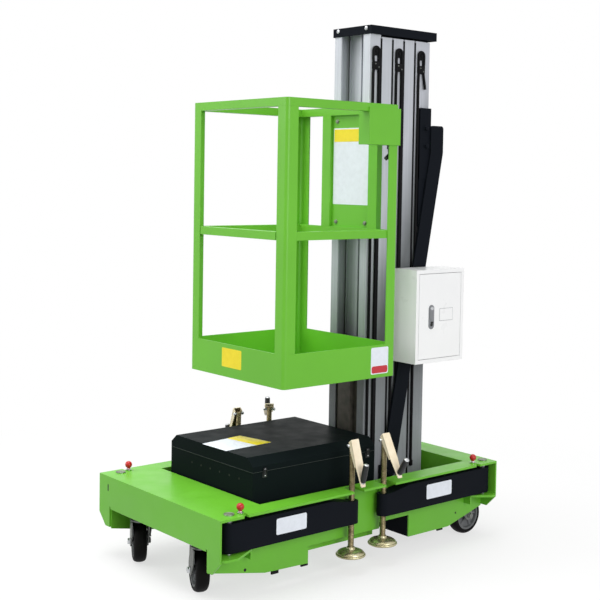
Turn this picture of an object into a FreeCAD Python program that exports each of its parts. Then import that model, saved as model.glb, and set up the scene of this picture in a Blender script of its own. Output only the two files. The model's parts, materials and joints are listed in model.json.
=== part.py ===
import FreeCAD, Part
import Sketcher
import os
import re

# Single-mast aluminium work platform: five nested lift profiles on a wheeled, outrigger-braced base.
# Millimetres. +X is the side with the white cabinet, -Y the entry end, +Z up.
# The origin is on the floor, under the middle of the base.

doc = FreeCAD.newDocument("WorkPlatform")
sheet = doc.addObject("Spreadsheet::Sheet", "Sizes")

# Driving dimensions, one named cell each.
sizes = {
    # base
    "base_long": 1336, "base_wide": 756, "deck_deep": 110, "deck_thick": 8, "sheet_thick": 6,
    "front_deck_deep": 218, "rear_deck_deep": 108, "pad_thick": 8,
    "web_inset": 72, "rail_inset": 2, "rail_end_inset": 116,
    "skirt_deep": 242, "skirt_end_deep": 190, "front_knee_inset": 240, "rear_knee_inset": 194,
    "notch_inset": 431, "notch_up": 182, "tunnel_offset": 49, "tunnel_long": 152, "tunnel_up": 159,
    "tab_deep": 185, "tab_bevel": 44, "wing_step": 96, "knob_notch_deep": 20,
    "lug_gap": 6, "lug_thick": 8, "front_lug_reach": 94, "rear_lug_reach": 71, "lug_round": 20,
    "lug_out": 14, "lug_heel": 34, "lug_flange_drop": 28,
    "pan_up": 212, "pan_inset": 36, "bearer_wide": 30, "pan_thick": 6, "cradle_drop": 108, "cradle_thick": 8,
    "bumper_wide": 30, "bumper_tall": 12, "bumper_lap": 5,
    # hinge pins and lock pins
    "pin_inset": 42, "front_pin_inset": 64, "rear_pin_inset": 36, "pin_radius": 12, "pin_head": 16,
    "pin_head_tall": 3, "run_gap": 0.08, "fit_gap": 0.05,
    "lock_side_inset": 33, "lock_end_inset": 103, "lock_radius": 4.5, "lock_bore": 5.5, "lock_sleeve": 11,
    "lock_sleeve_tall": 10, "lock_ball": 13, "lock_rise": 22, "lock_collar_tall": 3,
    # outrigger arms and jacks
    "jack_gap": 156, "arm_half": 24, "arm_clear": 16, "arm_deep": 98, "arm_slope": 110, "arm_drop": 18,
    "arm_wall": 5, "boss_half": 24,
    "screw_radius": 11, "screw_rise": 163, "front_foot_low": 59, "rear_foot_low": 71, "foot_radius": 54,
    "foot_rim": 9, "foot_dome": 31, "foot_neck": 17, "foot_brim": 27, "foot_brim_rise": 15,
    "crank_pin_drop": 8, "crank_pin_radius": 5, "crank_pin_half": 27, "crank_wide": 36, "crank_plate": 4,
    "crank_long": 150, "crank_kink": 78, "crank_tip": 20, "crank_over": 18, "crank_gap": 3.5,
    "front_crank_angle": 17, "rear_crank_angle": 28, "grip_radius": 11, "grip_long": 74,
    "front_grip_angle": 14, "rear_grip_angle": 32, "grip_ear": 14, "raised_crank_angle": 63,
    "front_far_turn_angle": 180, "rear_far_turn_angle": 145,
    # power box
    "box_side_gap": 58, "box_end_gap": 10, "box_mast_gap": 79, "box_wall": 3, "box_rise": 92,
    "lid_tall": 48, "lid_bevel_wide": 32, "lid_bevel_tall": 27, "pack_margin": 24, "pack_tall": 200,
    # wheels
    "wheel_radius": 75, "wheel_thick": 48, "tyre_thick": 17, "hub_thick": 44, "bore_radius": 6,
    "tyre_round": 14, "hub_web": 12, "hub_rim": 8, "boss_radius": 15,
    "caster_side_inset": 187, "caster_end_inset": 58, "caster_trail": 26, "near_swing_angle": 157,
    "far_swing_angle": 153, "rear_swing_angle": 90,
    "fork_gap": 5, "fork_plate": 3.5, "crown_radius": 33, "crown_gap": 7, "crown_thick": 5,
    "race_radius": 27, "race_tall": 14, "top_plate_half": 46, "top_plate_thick": 6,
    "rear_wheel_inset": 40, "rear_wheel_end_inset": 61, "axle_gap": 0.1, "axle_head": 9, "axle_head_thick": 6,
    # mast
    "mast_half": 100, "mast_gap": 25, "pitch": 61, "section_deep": 56, "section_rise": 21, "lead_top": 1974,
    "section_wall": 4, "chamber_wide": 24, "lip_wide": 14, "lip_thick": 7, "slide_gap": 0.6,
    "tongue_thick": 11, "stem_gap": 28, "rib_half": 7, "rib_deep": 9, "back_deep": 28,
    "back_step": 4,
    "foot_plate_thick": 12, "cap_side": 8.5, "cap_overhang": 26, "cap_lap": 27, "cap_rise": 6,
    "cap_clear": 7, "cap_sheet": 3, "sheave_radius": 17, "sheave_thick": 11, "sheave_drop": 50,
    "clamp_drop": 75, "clamp_tall": 34, "clamp_wide": 30, "clamp_thick": 9,
    # stays
    "stay_gap": 12, "stay_thick": 8, "stay_wide": 70, "stay_out": 29, "stay_drop": 435, "stay_head": 107,
    "stay_round": 12, "stay_foot_back": 118, "stay_foot_rise": 46, "plate_down": 105, "plate_up": 175,
    "plate_inset": 23,
    # cage
    "cage_half": 278, "cage_long": 533, "cage_gap": 12, "cage_rise": 230, "toe_tall": 120, "cage_tall": 1000,
    "cage_sheet": 4, "post_leg": 50, "post_round": 14, "rail_tube": 29, "mid_rise": 540, "top_ring": 30,
    "bar_tube": 28, "bar_gap": 5, "bar_back": 8, "peg_radius": 5, "peg_gap": 0.3, "panel_far_inset": 159,
    "panel_near_inset": 85, "panel_post": 48, "panel_set_back": 14, "panel_thick": 3,
    "carriage_rise": 15, "carriage_up": 116,
    "console_wide": 50, "console_hook": 6, "console_long": 157, "console_drop": 149, "hook_drop": 15,
    "gland_radius": 12, "gland_inset": 27, "gland_tall": 40,
    # cabinet
    "cab_gap": 30, "cab_deep": 120, "cab_front_set": 124, "cab_long": 264, "cab_rise": 23, "cab_tall": 360,
    "cab_wall": 2, "cab_frame": 15, "door_deep": 14, "door_gap": 1.5, "cab_bracket": 60, "bracket_deep": 28,
    "hinge_pin": 1.8, "hinge_half": 4, "hinge_back": 4, "hinge_inset": 5, "hinge_boss": 10,
}

# Places that follow from them.
places = {
    "beam_low": "2*wheel_radius + crown_gap + crown_thick + race_tall + top_plate_thick + pad_thick",
    "deck_top": "beam_low + deck_deep",
    "web_out": "base_wide/2 - web_inset",
    "rail_out": "base_wide/2 - rail_inset",
    "rail_end": "base_long/2 - rail_end_inset",
    "skirt_low": "deck_top - skirt_deep",
    "skirt_end_low": "deck_top - skirt_end_deep",
    "skirt_front_knee": "base_long/2 - front_knee_inset",
    "skirt_rear_knee": "base_long/2 - rear_knee_inset",
    "mast_back": "base_long/2 - rear_deck_deep - mast_gap",
    "first_face": "mast_back - back_deep - section_deep - 4*pitch",
    "notch_front": "base_long/2 - notch_inset",
    "notch_rear": "first_face + tunnel_offset",
    "notch_step": "notch_rear - tunnel_long",
    "notch_low": "deck_top - notch_up",
    "tunnel_top": "deck_top - tunnel_up",
    "tab_low": "deck_top - tab_deep",
    "pan_low": "deck_top - pan_up",
    "cradle_top": "deck_top - cradle_drop",
    "pin_x": "base_wide/2 - pin_inset",
    "front_pin_y": "base_long/2 - front_pin_inset",
    "rear_pin_y": "base_long/2 - rear_pin_inset",
    "lock_x": "base_wide/2 - lock_side_inset",
    "lock_y": "base_long/2 - lock_end_inset",
    "lock_ball_high": "deck_top + lock_rise",
    "arm_reach": "base_long/2 - front_pin_inset/2 - rear_pin_inset/2 - jack_gap/2",
    "arm_top": "deck_top - deck_thick - arm_clear",
    "arm_low": "arm_top - arm_deep",
    "lug_low": "arm_low - lug_gap - lug_thick",
    "screw_top": "deck_top + screw_rise",
    "crank_pin_high": "screw_top - crank_pin_drop",
    "box_half": "web_out - box_side_gap",
    "box_front": "base_long/2 - front_deck_deep - box_end_gap",
    "box_rear": "first_face - box_mast_gap",
    "lid_split": "deck_top + box_rise",
    "lid_top": "lid_split + lid_tall",
    "lid_flat": "box_half - lid_bevel_wide",
    "lid_side": "lid_top - lid_bevel_tall",
    "hub_radius": "wheel_radius - tyre_thick",
    "axle_radius": "bore_radius - axle_gap",
    "caster_x": "base_wide/2 - caster_side_inset",
    "caster_y": "base_long/2 - caster_end_inset",
    "crown_low": "2*wheel_radius + crown_gap",
    "race_low": "crown_low + crown_thick",
    "race_top": "race_low + race_tall",
    "rear_wheel_x": "web_out - rear_wheel_inset",
    "rear_wheel_y": "base_long/2 - rear_wheel_end_inset",
    "cavity_half": "mast_half - chamber_wide",
    "slot_half": "cavity_half - lip_wide",
    "stem_half": "slot_half - stem_gap",
    "section_low": "cradle_top + foot_plate_thick + section_rise",
    "foot_plate_half": "mast_half + stay_gap",
    "cap_half": "mast_half + cap_side",
    "cap_front": "first_face - cap_sheet",
    "cap_rear": "mast_back + cap_overhang",
    "cap_low": "lead_top - cap_lap",
    "cap_top": "lead_top + cap_rise",
    "section_top": "cap_low - cap_clear",
    "sheave_high": "section_top - sheave_drop",
    "clamp_low": "sheave_high - clamp_drop",
    "stay_top_y": "mast_back + stay_out",
    "stay_top_z": "section_top - stay_drop",
    "stay_foot_y": "first_face + stay_foot_back",
    "stay_foot_z": "cradle_top + foot_plate_thick + stay_foot_rise",
    "plate_low": "stay_top_z - plate_down",
    "plate_top": "stay_top_z + plate_up",
    "plate_front": "first_face + 4*pitch + plate_inset",
    "cage_rear": "first_face - cage_gap",
    "cage_front": "cage_long - cage_rear",
    "cage_low": "lid_top + cage_rise",
    "toe_top": "cage_low + toe_tall",
    "mid_top": "cage_low + mid_rise",
    "cage_top": "cage_low + cage_tall",
    "panel_left": "panel_far_inset - cage_half",
    "panel_right": "cage_half - panel_near_inset",
    "carriage_low": "section_low + carriage_rise",
    "carriage_top": "cage_low + carriage_up",
    "console_x": "cage_half - console_wide",
    "console_out": "cage_half + console_hook",
    "console_front": "cage_rear - console_long",
    "console_low": "cage_top - console_drop",
    "console_hook_top": "cage_top - hook_drop",
    "gland_y": "cage_rear - gland_inset",
    "cab_in": "mast_half + cab_gap",
    "cab_out": "cab_in + cab_deep",
    "cab_front": "first_face + cab_front_set",
    "cab_rear": "cab_front + cab_long",
    "cab_low": "cage_low + cab_rise",
    "cab_top": "cab_low + cab_tall",
    "door_in": "cab_out - door_deep",
    "door_front": "cab_front + cab_frame + door_gap",
    "door_rear": "cab_rear - cab_frame - door_gap",
    "door_low": "cab_low + cab_frame + door_gap",
    "door_top": "cab_top - cab_frame - door_gap",
    "hinge_x": "cab_out - hinge_back",
    "hinge_y": "door_rear - hinge_inset",
}
cells = {**sizes, **places}
for row, alias in enumerate(cells, start=1):
    sheet.set("A%d" % row, alias)
    sheet.setAlias("B%d" % row, alias)
for row, (alias, entry) in enumerate(cells.items(), start=1):
    sheet.set("B%d" % row, "=" + entry if alias in places else str(entry))
doc.recompute()

turnZ = FreeCAD.Vector(0, 0, 1)
pieces = []


# Point every size's name in a formula at its cell.
def formula(text):
    return re.sub(r"\b([a-z]+(?:_[a-z]+)+|pitch)\b", r"Sizes.\1", str(text))


# Work out a sum of products, such as "base_long/2 - sheet_thick", for a shape's first form.
def amountOf(text):
    total = 0.0
    for sign, term in re.findall(r"([+-]?)\s*([^+\-\s]+(?:\s*[*/]\s*[^+\-\s]+)*)", str(text)):
        product = 1.0
        for operator, word in re.findall(r"([*/]?)\s*([a-z_]+|[0-9.]+)", term):
            number = amountOf(cells[word]) if word in cells else float(word)
            product = product / number if operator == "/" else product * number
        total += -product if sign == "-" else product
    return total


def bind(thing, prop, text):
    thing.setExpression(prop, formula(text))


def putAt(thing, x, y, z):
    for axis, text in zip("xyz", (x, y, z)):
        bind(thing, "Placement.Base." + axis, text)


# Name a finished sub-part; the label names its file.
def keep(thing, node):
    thing.Label = node
    pieces.append(thing)
    return thing


# A box between two corners, each corner three formulas.
def block(name, low, high):
    box = doc.addObject("Part::Box", name)
    for prop, lowText, highText in zip(("Length", "Width", "Height"), low, high):
        bind(box, prop, "(%s) - (%s)" % (highText, lowText))
    putAt(box, *low)
    return box


# A cylinder from its base's centre along a direction.
def rod(name, base, radius, length, direction=(0, 0, 1)):
    bar = doc.addObject("Part::Cylinder", name)
    bar.Placement.Rotation = FreeCAD.Rotation(turnZ, FreeCAD.Vector(*direction))
    bind(bar, "Radius", radius)
    bind(bar, "Height", length)
    putAt(bar, *base)
    return bar


def joined(name, parts):
    fused = doc.addObject("Part::MultiFuse", name)
    fused.Shapes = parts
    fused.Refine = True
    return fused


def without(name, base, tools):
    tool = tools[0] if len(tools) == 1 else joined(name + "_tools", tools)
    cut = doc.addObject("Part::Cut", name)
    cut.Base = base
    cut.Tool = tool
    cut.Refine = True
    return cut


# The same piece on the far side: a mirror image in the plane X = 0.
def farTwin(name, near):
    twin = doc.addObject("Part::Mirroring", name)
    twin.Source = near
    twin.Base = (0, 0, 0)
    twin.Normal = (1, 0, 0)
    return twin


def planeOf(body, role):
    return [plane for plane in body.Origin.OriginFeatures if plane.Role == role][0]


# Closed outlines from lists of corners; a loop (x, y, radius) is a circle.
def drawLoops(sketch, loops):
    for loop in loops:
        if isinstance(loop, tuple):
            x, y, radius = loop
            centre = FreeCAD.Vector(amountOf(x), amountOf(y), 0)
            ring = sketch.addGeometry(Part.Circle(centre, FreeCAD.Vector(0, 0, 1), amountOf(radius)), False)
            rules = (("DistanceX", 3, x, centre.x), ("DistanceY", 3, y, centre.y))
            for kind, point, text, amount in rules:
                rule = sketch.addConstraint(Sketcher.Constraint(kind, -1, 1, ring, point, amount))
                sketch.setExpression("Constraints[%d]" % rule, formula(text))
            rule = sketch.addConstraint(Sketcher.Constraint("Radius", ring, amountOf(radius)))
            sketch.setExpression("Constraints[%d]" % rule, formula(radius))
            continue
        corners = [FreeCAD.Vector(amountOf(x), amountOf(y), 0) for x, y in loop]
        lines = []
        for place, corner in enumerate(corners):
            follower = corners[(place + 1) % len(corners)]
            lines.append(sketch.addGeometry(Part.LineSegment(corner, follower), False))
        for place, line in enumerate(lines):
            following = lines[(place + 1) % len(lines)]
            sketch.addConstraint(Sketcher.Constraint("Coincident", line, 2, following, 1))
        for line, corner, (x, y) in zip(lines, corners, loop):
            for kind, text, amount in (("DistanceX", x, corner.x), ("DistanceY", y, corner.y)):
                rule = sketch.addConstraint(Sketcher.Constraint(kind, -1, 1, line, 1, amount))
                sketch.setExpression("Constraints[%d]" % rule, formula(text))


# A body: an outline on one of its own planes, padded from low to high across that plane.
def padded(name, role, loops, low, high):
    body = doc.addObject("PartDesign::Body", name)
    sketch = body.newObject("Sketcher::SketchObject", name + "_outline")
    sketch.AttachmentSupport = (planeOf(body, role), [""])
    sketch.MapMode = "FlatFace"
    drawLoops(sketch, loops)
    pad = body.newObject("PartDesign::Pad", name + "_pad")
    pad.Profile = sketch
    bind(pad, "Length", "(%s) - (%s)" % (high, low))
    axis, start = {"XY_Plane": ("z", low), "YZ_Plane": ("x", low), "XZ_Plane": ("y", high)}[role]
    bind(body, "Placement.Base." + axis, start)
    doc.recompute()
    return body


# Round the padded edges that stand on the given corners of the body's outline.
def roundedOff(body, corners, radius):
    pad = body.Tip
    sketch = body.Group[0]
    wanted = [sketch.Placement.multVec(FreeCAD.Vector(amountOf(x), amountOf(y), 0)) for x, y in corners]
    normal = sketch.Placement.Rotation.multVec(turnZ)
    names = []
    for count, edge in enumerate(pad.Shape.Edges, start=1):
        ends = [vertex.Point for vertex in edge.Vertexes]
        if len(ends) < 2 or (ends[1] - ends[0]).cross(normal).Length > 0.01:
            continue
        for spot in wanted:
            if (ends[0] - spot).cross(normal).Length < 0.01:
                names.append("Edge%d" % count)
    fillet = body.newObject("PartDesign::Fillet", body.Name + "_round")
    fillet.Base = (pad, names)
    fillet.Radius = amountOf(radius)
    bind(fillet, "Radius", radius)
    body.Tip = fillet
    doc.recompute()
    return body


# A body of revolution: a half profile on one of its planes, turned about a sketch axis.
def turned(name, role, profile, axisName="V_Axis"):
    body = doc.addObject("PartDesign::Body", name)
    sketch = body.newObject("Sketcher::SketchObject", name + "_profile")
    sketch.AttachmentSupport = (planeOf(body, role), [""])
    sketch.MapMode = "FlatFace"
    drawLoops(sketch, [profile])
    spin = body.newObject("PartDesign::Revolution", name + "_spin")
    spin.Profile = sketch
    spin.ReferenceAxis = (sketch, [axisName])
    spin.Angle = 360
    doc.recompute()
    return body


# Base: end decks, side webs, floor pan and mast cradle

# A deck box across one end, with corner wings, wheel plate, lugs and lock sleeves.
def endDeck(name, sign, depth, pinY, reach):
    end = "%s*base_long/2" % sign
    inner = "%s*base_long/2 %s %s" % (sign, "-" if sign == "1" else "+", depth)
    back = "-" if sign == "1" else "+"

    def fromEnd(distance):
        return "%s*base_long/2 %s %s" % (sign, back, distance)

    def ordered(first, second):
        return (first, second) if sign == "-1" else (second, first)

    half = "base_wide/2"
    notchIn = half + " - knob_notch_deep"
    wing = fromEnd("wing_step")
    rail = "%s*rail_end" % sign
    webIn = "web_out - sheet_thick"
    right = [(half, end), (half, wing), (notchIn, wing), (notchIn, rail), (webIn, rail), (webIn, inner)]
    left = [("-" + x.replace(" - ", " + "), y) for x, y in reversed(right)]
    holes = [("pin_x", "%s*%s" % (sign, pinY), "pin_radius + fit_gap"),
             ("-pin_x", "%s*%s" % (sign, pinY), "pin_radius + fit_gap")]
    deck = padded(name + "_top", "XY_Plane", [right + left] + holes, "deck_top - deck_thick", "deck_top")
    bottom = "deck_top - deck_thick"
    tabIn = "web_out"
    plateRight = [(tabIn, "beam_low"), (tabIn, "tab_low"), (half + " - tab_bevel", "tab_low"),
                  (half, "tab_low + tab_bevel"), (half, bottom)]
    plateLeft = [("-" + x.replace(" - ", " + "), z) for x, z in reversed(plateRight)]
    yLow, yHigh = ordered(end, fromEnd("sheet_thick"))
    plate = padded(name + "_plate", "XZ_Plane", [plateRight + plateLeft], yLow, yHigh)
    wallLow, wallHigh = ordered("%s %s sheet_thick" % (inner, "-" if sign == "-1" else "+"), inner)
    wall = block(name + "_wall", ("-web_out + sheet_thick", wallLow, "beam_low"),
                 ("web_out - sheet_thick", wallHigh, bottom))
    padLow, padHigh = ordered(end, inner)
    floor = block(name + "_wheel_plate", ("-web_out + sheet_thick", padLow, "beam_low - pad_thick"),
                  ("web_out - sheet_thick", padHigh, "beam_low"))
    parts = [deck, plate, wall, floor]
    for side, label in (("1", "near"), ("-1", "far")):
        tag = name + "_" + label
        pin = "%s*%s" % (sign, pinY)
        lugEnd = pin + (" + " if sign == "-1" else " - ") + reach
        lugStart = fromEnd("sheet_thick")
        outward = "" if side == "1" else "-"
        brim = outward + ("base_wide/2 + lug_out" if side == "1" else "base_wide/2 - lug_out")
        heel = outward + ("web_out + lug_heel" if side == "1" else "web_out - lug_heel")
        corners = [(side + "*web_out", lugStart), (brim, lugStart), (brim, pin), (heel, lugEnd),
                   (side + "*web_out", lugEnd)]
        lug = padded(tag + "_lug", "XY_Plane", [corners, (side + "*pin_x", pin, "pin_radius + fit_gap")],
                     "lug_low", "lug_low + lug_thick")
        roundedOff(lug, corners[1:3], "lug_round")
        flangeIn = lugEnd + (" - sheet_thick" if sign == "-1" else " + sheet_thick")
        flangeLow, flangeHigh = ordered(flangeIn, lugEnd)
        xLow, xHigh = ("web_out", heel) if side == "1" else (heel, "-web_out")
        flange = block(tag + "_lug_flange", (xLow, flangeLow, "lug_low - lug_flange_drop"),
                       (xHigh, flangeHigh, "lug_low + lug_thick/2"))
        sleeveBase = (side + "*lock_x", "%s*lock_y" % sign, "deck_top - deck_thick")
        sleeve = rod(tag + "_sleeve", sleeveBase, "lock_sleeve", "lock_sleeve_tall")
        parts += [lug, flange, sleeve]
    bores = [rod("%s_%s_bore" % (name, label), (side + "*lock_x", "%s*lock_y" % sign, "beam_low"),
                 "lock_bore", "deck_top") for side, label in (("1", "near"), ("-1", "far"))]
    return keep(without(name, joined(name + "_welded", parts), bores), name)


endDeck("front_deck", "-1", "front_deck_deep", "front_pin_y", "front_lug_reach")
endDeck("rear_deck", "1", "rear_deck_deep", "rear_pin_y", "rear_lug_reach")

# Side web with its stepped skirt, and the top flange cut open where the jack screws pass.
endIn = "base_long/2 - sheet_thick"
webOutline = [
    ("-base_long/2 + sheet_thick", "skirt_end_low"), ("-skirt_front_knee", "skirt_low + sheet_thick"),
    ("-notch_front", "skirt_low"), ("-notch_front", "notch_low"), ("notch_step", "notch_low"),
    ("notch_step", "tunnel_top"), ("notch_rear", "tunnel_top"), ("notch_rear", "skirt_low"),
    ("skirt_rear_knee", "skirt_low"), (endIn, "skirt_end_low"), (endIn, "deck_top - deck_thick"),
    ("-base_long/2 + sheet_thick", "deck_top - deck_thick"),
]
web = padded("side_web", "YZ_Plane", [webOutline], "web_out - sheet_thick", "web_out")
flange = padded("rail_flange", "YZ_Plane",
                [[("-rail_end", "deck_top - deck_thick"), ("rail_end", "deck_top - deck_thick"),
                  ("rail_end", "deck_top"), ("-rail_end", "deck_top")]],
                "web_out - sheet_thick", "rail_out")
gaps = []
for label, place in (("front", "-front_pin_y + arm_reach"), ("rear", "rear_pin_y - arm_reach")):
    gaps.append(block(label + "_jack_gap", ("pin_x - boss_half", place + " - boss_half", "arm_top"),
                      ("rail_out + sheet_thick", place + " + boss_half", "deck_top + deck_thick")))
nearRail = keep(without("near_rail", joined("near_rail_welded", [web, flange]), gaps), "side_rail_near")
keep(farTwin("far_rail", nearRail), "side_rail_far")

panFront = "-base_long/2 + front_deck_deep"
panOuter = block("pan_outer", ("-web_out + pan_inset", panFront, "pan_low"),
                 ("web_out - pan_inset", "notch_step", "tunnel_top + sheet_thick"))
panInner = block("pan_inner", ("-web_out + pan_inset + pan_thick", panFront + " + pan_thick",
                               "pan_low + pan_thick"),
                 ("web_out - pan_inset - pan_thick", "notch_step - pan_thick", "deck_top"))
bearers = []
for label, start in (("front", "-box_front"), ("middle", "-notch_front - bearer_wide")):
    bearers.append(block("pan_bearer_" + label, ("-web_out + sheet_thick", start, "pan_low"),
                         ("web_out - sheet_thick", start + " + bearer_wide", "tunnel_top + sheet_thick")))
keep(joined("pan_welded", [without("pan", panOuter, [panInner])] + bearers), "floor_pan")

# Cradle: the fork tunnel's roof and rear wall, and the plate that carries the mast.
cradleOutline = [
    ("notch_step", "tunnel_top"), ("notch_rear", "tunnel_top"), ("notch_rear", "skirt_low"),
    ("notch_rear + sheet_thick", "skirt_low"), ("notch_rear + sheet_thick", "cradle_top - cradle_thick"),
    ("base_long/2 - rear_deck_deep", "cradle_top - cradle_thick"),
    ("base_long/2 - rear_deck_deep", "cradle_top"),
    ("box_rear + sheet_thick", "cradle_top"), ("box_rear + sheet_thick", "cradle_top - cradle_thick"),
    ("notch_rear", "cradle_top - cradle_thick"), ("notch_rear", "tunnel_top + sheet_thick"),
    ("notch_step", "tunnel_top + sheet_thick"),
]
keep(padded("cradle", "YZ_Plane", [cradleOutline], "-web_out + sheet_thick", "web_out - sheet_thick"),
     "mast_cradle")

# Rubber bumpers under the skirts: where each stands along the base.
bumpers = []
for count, place in enumerate(("-notch_front - bumper_wide", "-skirt_front_knee + bumper_wide",
                               "skirt_rear_knee - bumper_wide - bumper_wide")):
    for side, low, high in (("near", "web_out - sheet_thick", "web_out"),
                            ("far", "-web_out", "-web_out + sheet_thick")):
        bumpers.append(block("bumper_%s_%d" % (side, count),
                             (low, place, "skirt_low - bumper_tall + bumper_lap"),
                             (high, place + " + bumper_wide", "skirt_low + bumper_lap")))
webCutter = joined("bumper_blocks", bumpers)
farWeb = farTwin("far_web_copy", web)
keep(without("bumpers", webCutter, [web, farWeb]), "rubber_bumpers")

# Hinge pins and lock pins at the four corners: side, signed pin place, signed lock place.
corners = (("near_front", "1", "-front_pin_y", "-lock_y"), ("near_rear", "1", "rear_pin_y", "lock_y"),
           ("far_front", "-1", "-front_pin_y", "-lock_y"), ("far_rear", "-1", "rear_pin_y", "lock_y"))
pinParts = []
lockParts = []
for label, side, pinY, lockY in corners:
    pinParts.append(rod(label + "_pin", (side + "*pin_x", pinY, "lug_low - pin_head_tall"), "pin_radius",
                        "deck_top - lug_low + 2*pin_head_tall"))
    pinParts.append(rod(label + "_pin_head", (side + "*pin_x", pinY, "deck_top"), "pin_head",
                        "pin_head_tall"))
    lockParts.append(rod(label + "_lock_stem", (side + "*lock_x", lockY, "arm_top + sheet_thick"),
                         "lock_radius", "lock_ball_high - arm_top - sheet_thick"))
    lockParts.append(rod(label + "_lock_collar", (side + "*lock_x", lockY,
                                                  "deck_top - deck_thick + lock_sleeve_tall"),
                         "lock_sleeve", "lock_collar_tall"))
    ball = doc.addObject("Part::Sphere", label + "_lock_ball")
    bind(ball, "Radius", "lock_ball")
    putAt(ball, side + "*lock_x", lockY, "lock_ball_high")
    lockParts.append(ball)
keep(joined("pins", pinParts), "hinge_pins")
keep(joined("locks", lockParts), "lock_knobs")


# A jack about its own axis: a screw with a domed foot, bored for the crank's cross pin.
def jackAt(name, sole):
    profile = [("0", sole), ("foot_radius", sole), ("foot_radius", sole + " + foot_rim"),
               ("foot_brim", sole + " + foot_brim_rise"), ("foot_neck", sole + " + foot_dome"),
               ("screw_radius", sole + " + foot_dome"), ("screw_radius", "screw_top"), ("0", "screw_top")]
    crankBore = rod(name + "_bore", ("0", "-crank_pin_half", "crank_pin_high"),
                    "crank_pin_radius + fit_gap", "2*crank_pin_half", (0, 1, 0))
    return without(name, turned(name + "_body", "XZ_Plane", profile), [crankBore])


# A crank about its cross pin at the origin: two cheeks, a tapering plate and a grip, hung outward
# along X by its tilt, the grip leaning outward too.
def crankAt(name, tilt, lean):
    plate = padded(name + "_plate", "YZ_Plane",
                   [[("-crank_wide/2", "crank_over"), ("crank_wide/2", "crank_over"),
                     ("crank_wide/2", "-crank_kink"), ("crank_tip/2", "-crank_long"),
                     ("-crank_tip/2", "-crank_long"), ("-crank_wide/2", "-crank_kink")]],
                   "screw_radius + crank_gap", "screw_radius + crank_gap + crank_plate")
    cheeks = []
    for cheek, low, high in (("left", "-crank_wide/2", "-crank_wide/2 + crank_plate"),
                             ("right", "crank_wide/2 - crank_plate", "crank_wide/2")):
        cheeks.append(block("%s_%s_cheek" % (name, cheek), ("-screw_radius", low, "-crank_over"),
                            ("screw_radius + crank_gap + crank_plate/2", high, "crank_over")))
    crossPin = rod(name + "_pin", ("0", "-crank_pin_half", "0"), "crank_pin_radius", "2*crank_pin_half",
                   (0, 1, 0))
    grip = rod(name + "_grip", ("screw_radius + crank_gap + crank_plate/2", "0", "-crank_long + grip_ear"),
               "grip_radius", "grip_long")
    grip.Placement.Rotation = FreeCAD.Rotation(FreeCAD.Vector(0, 1, 0), 1)
    bind(grip, "Placement.Rotation.Angle", "%s + %s" % (tilt, lean))
    crank = joined(name, [plate] + cheeks + [crossPin, grip])
    crank.Placement.Rotation = FreeCAD.Rotation(FreeCAD.Vector(0, 1, 0), -1)
    bind(crank, "Placement.Rotation.Angle", "-" + tilt)
    return crank


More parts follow.
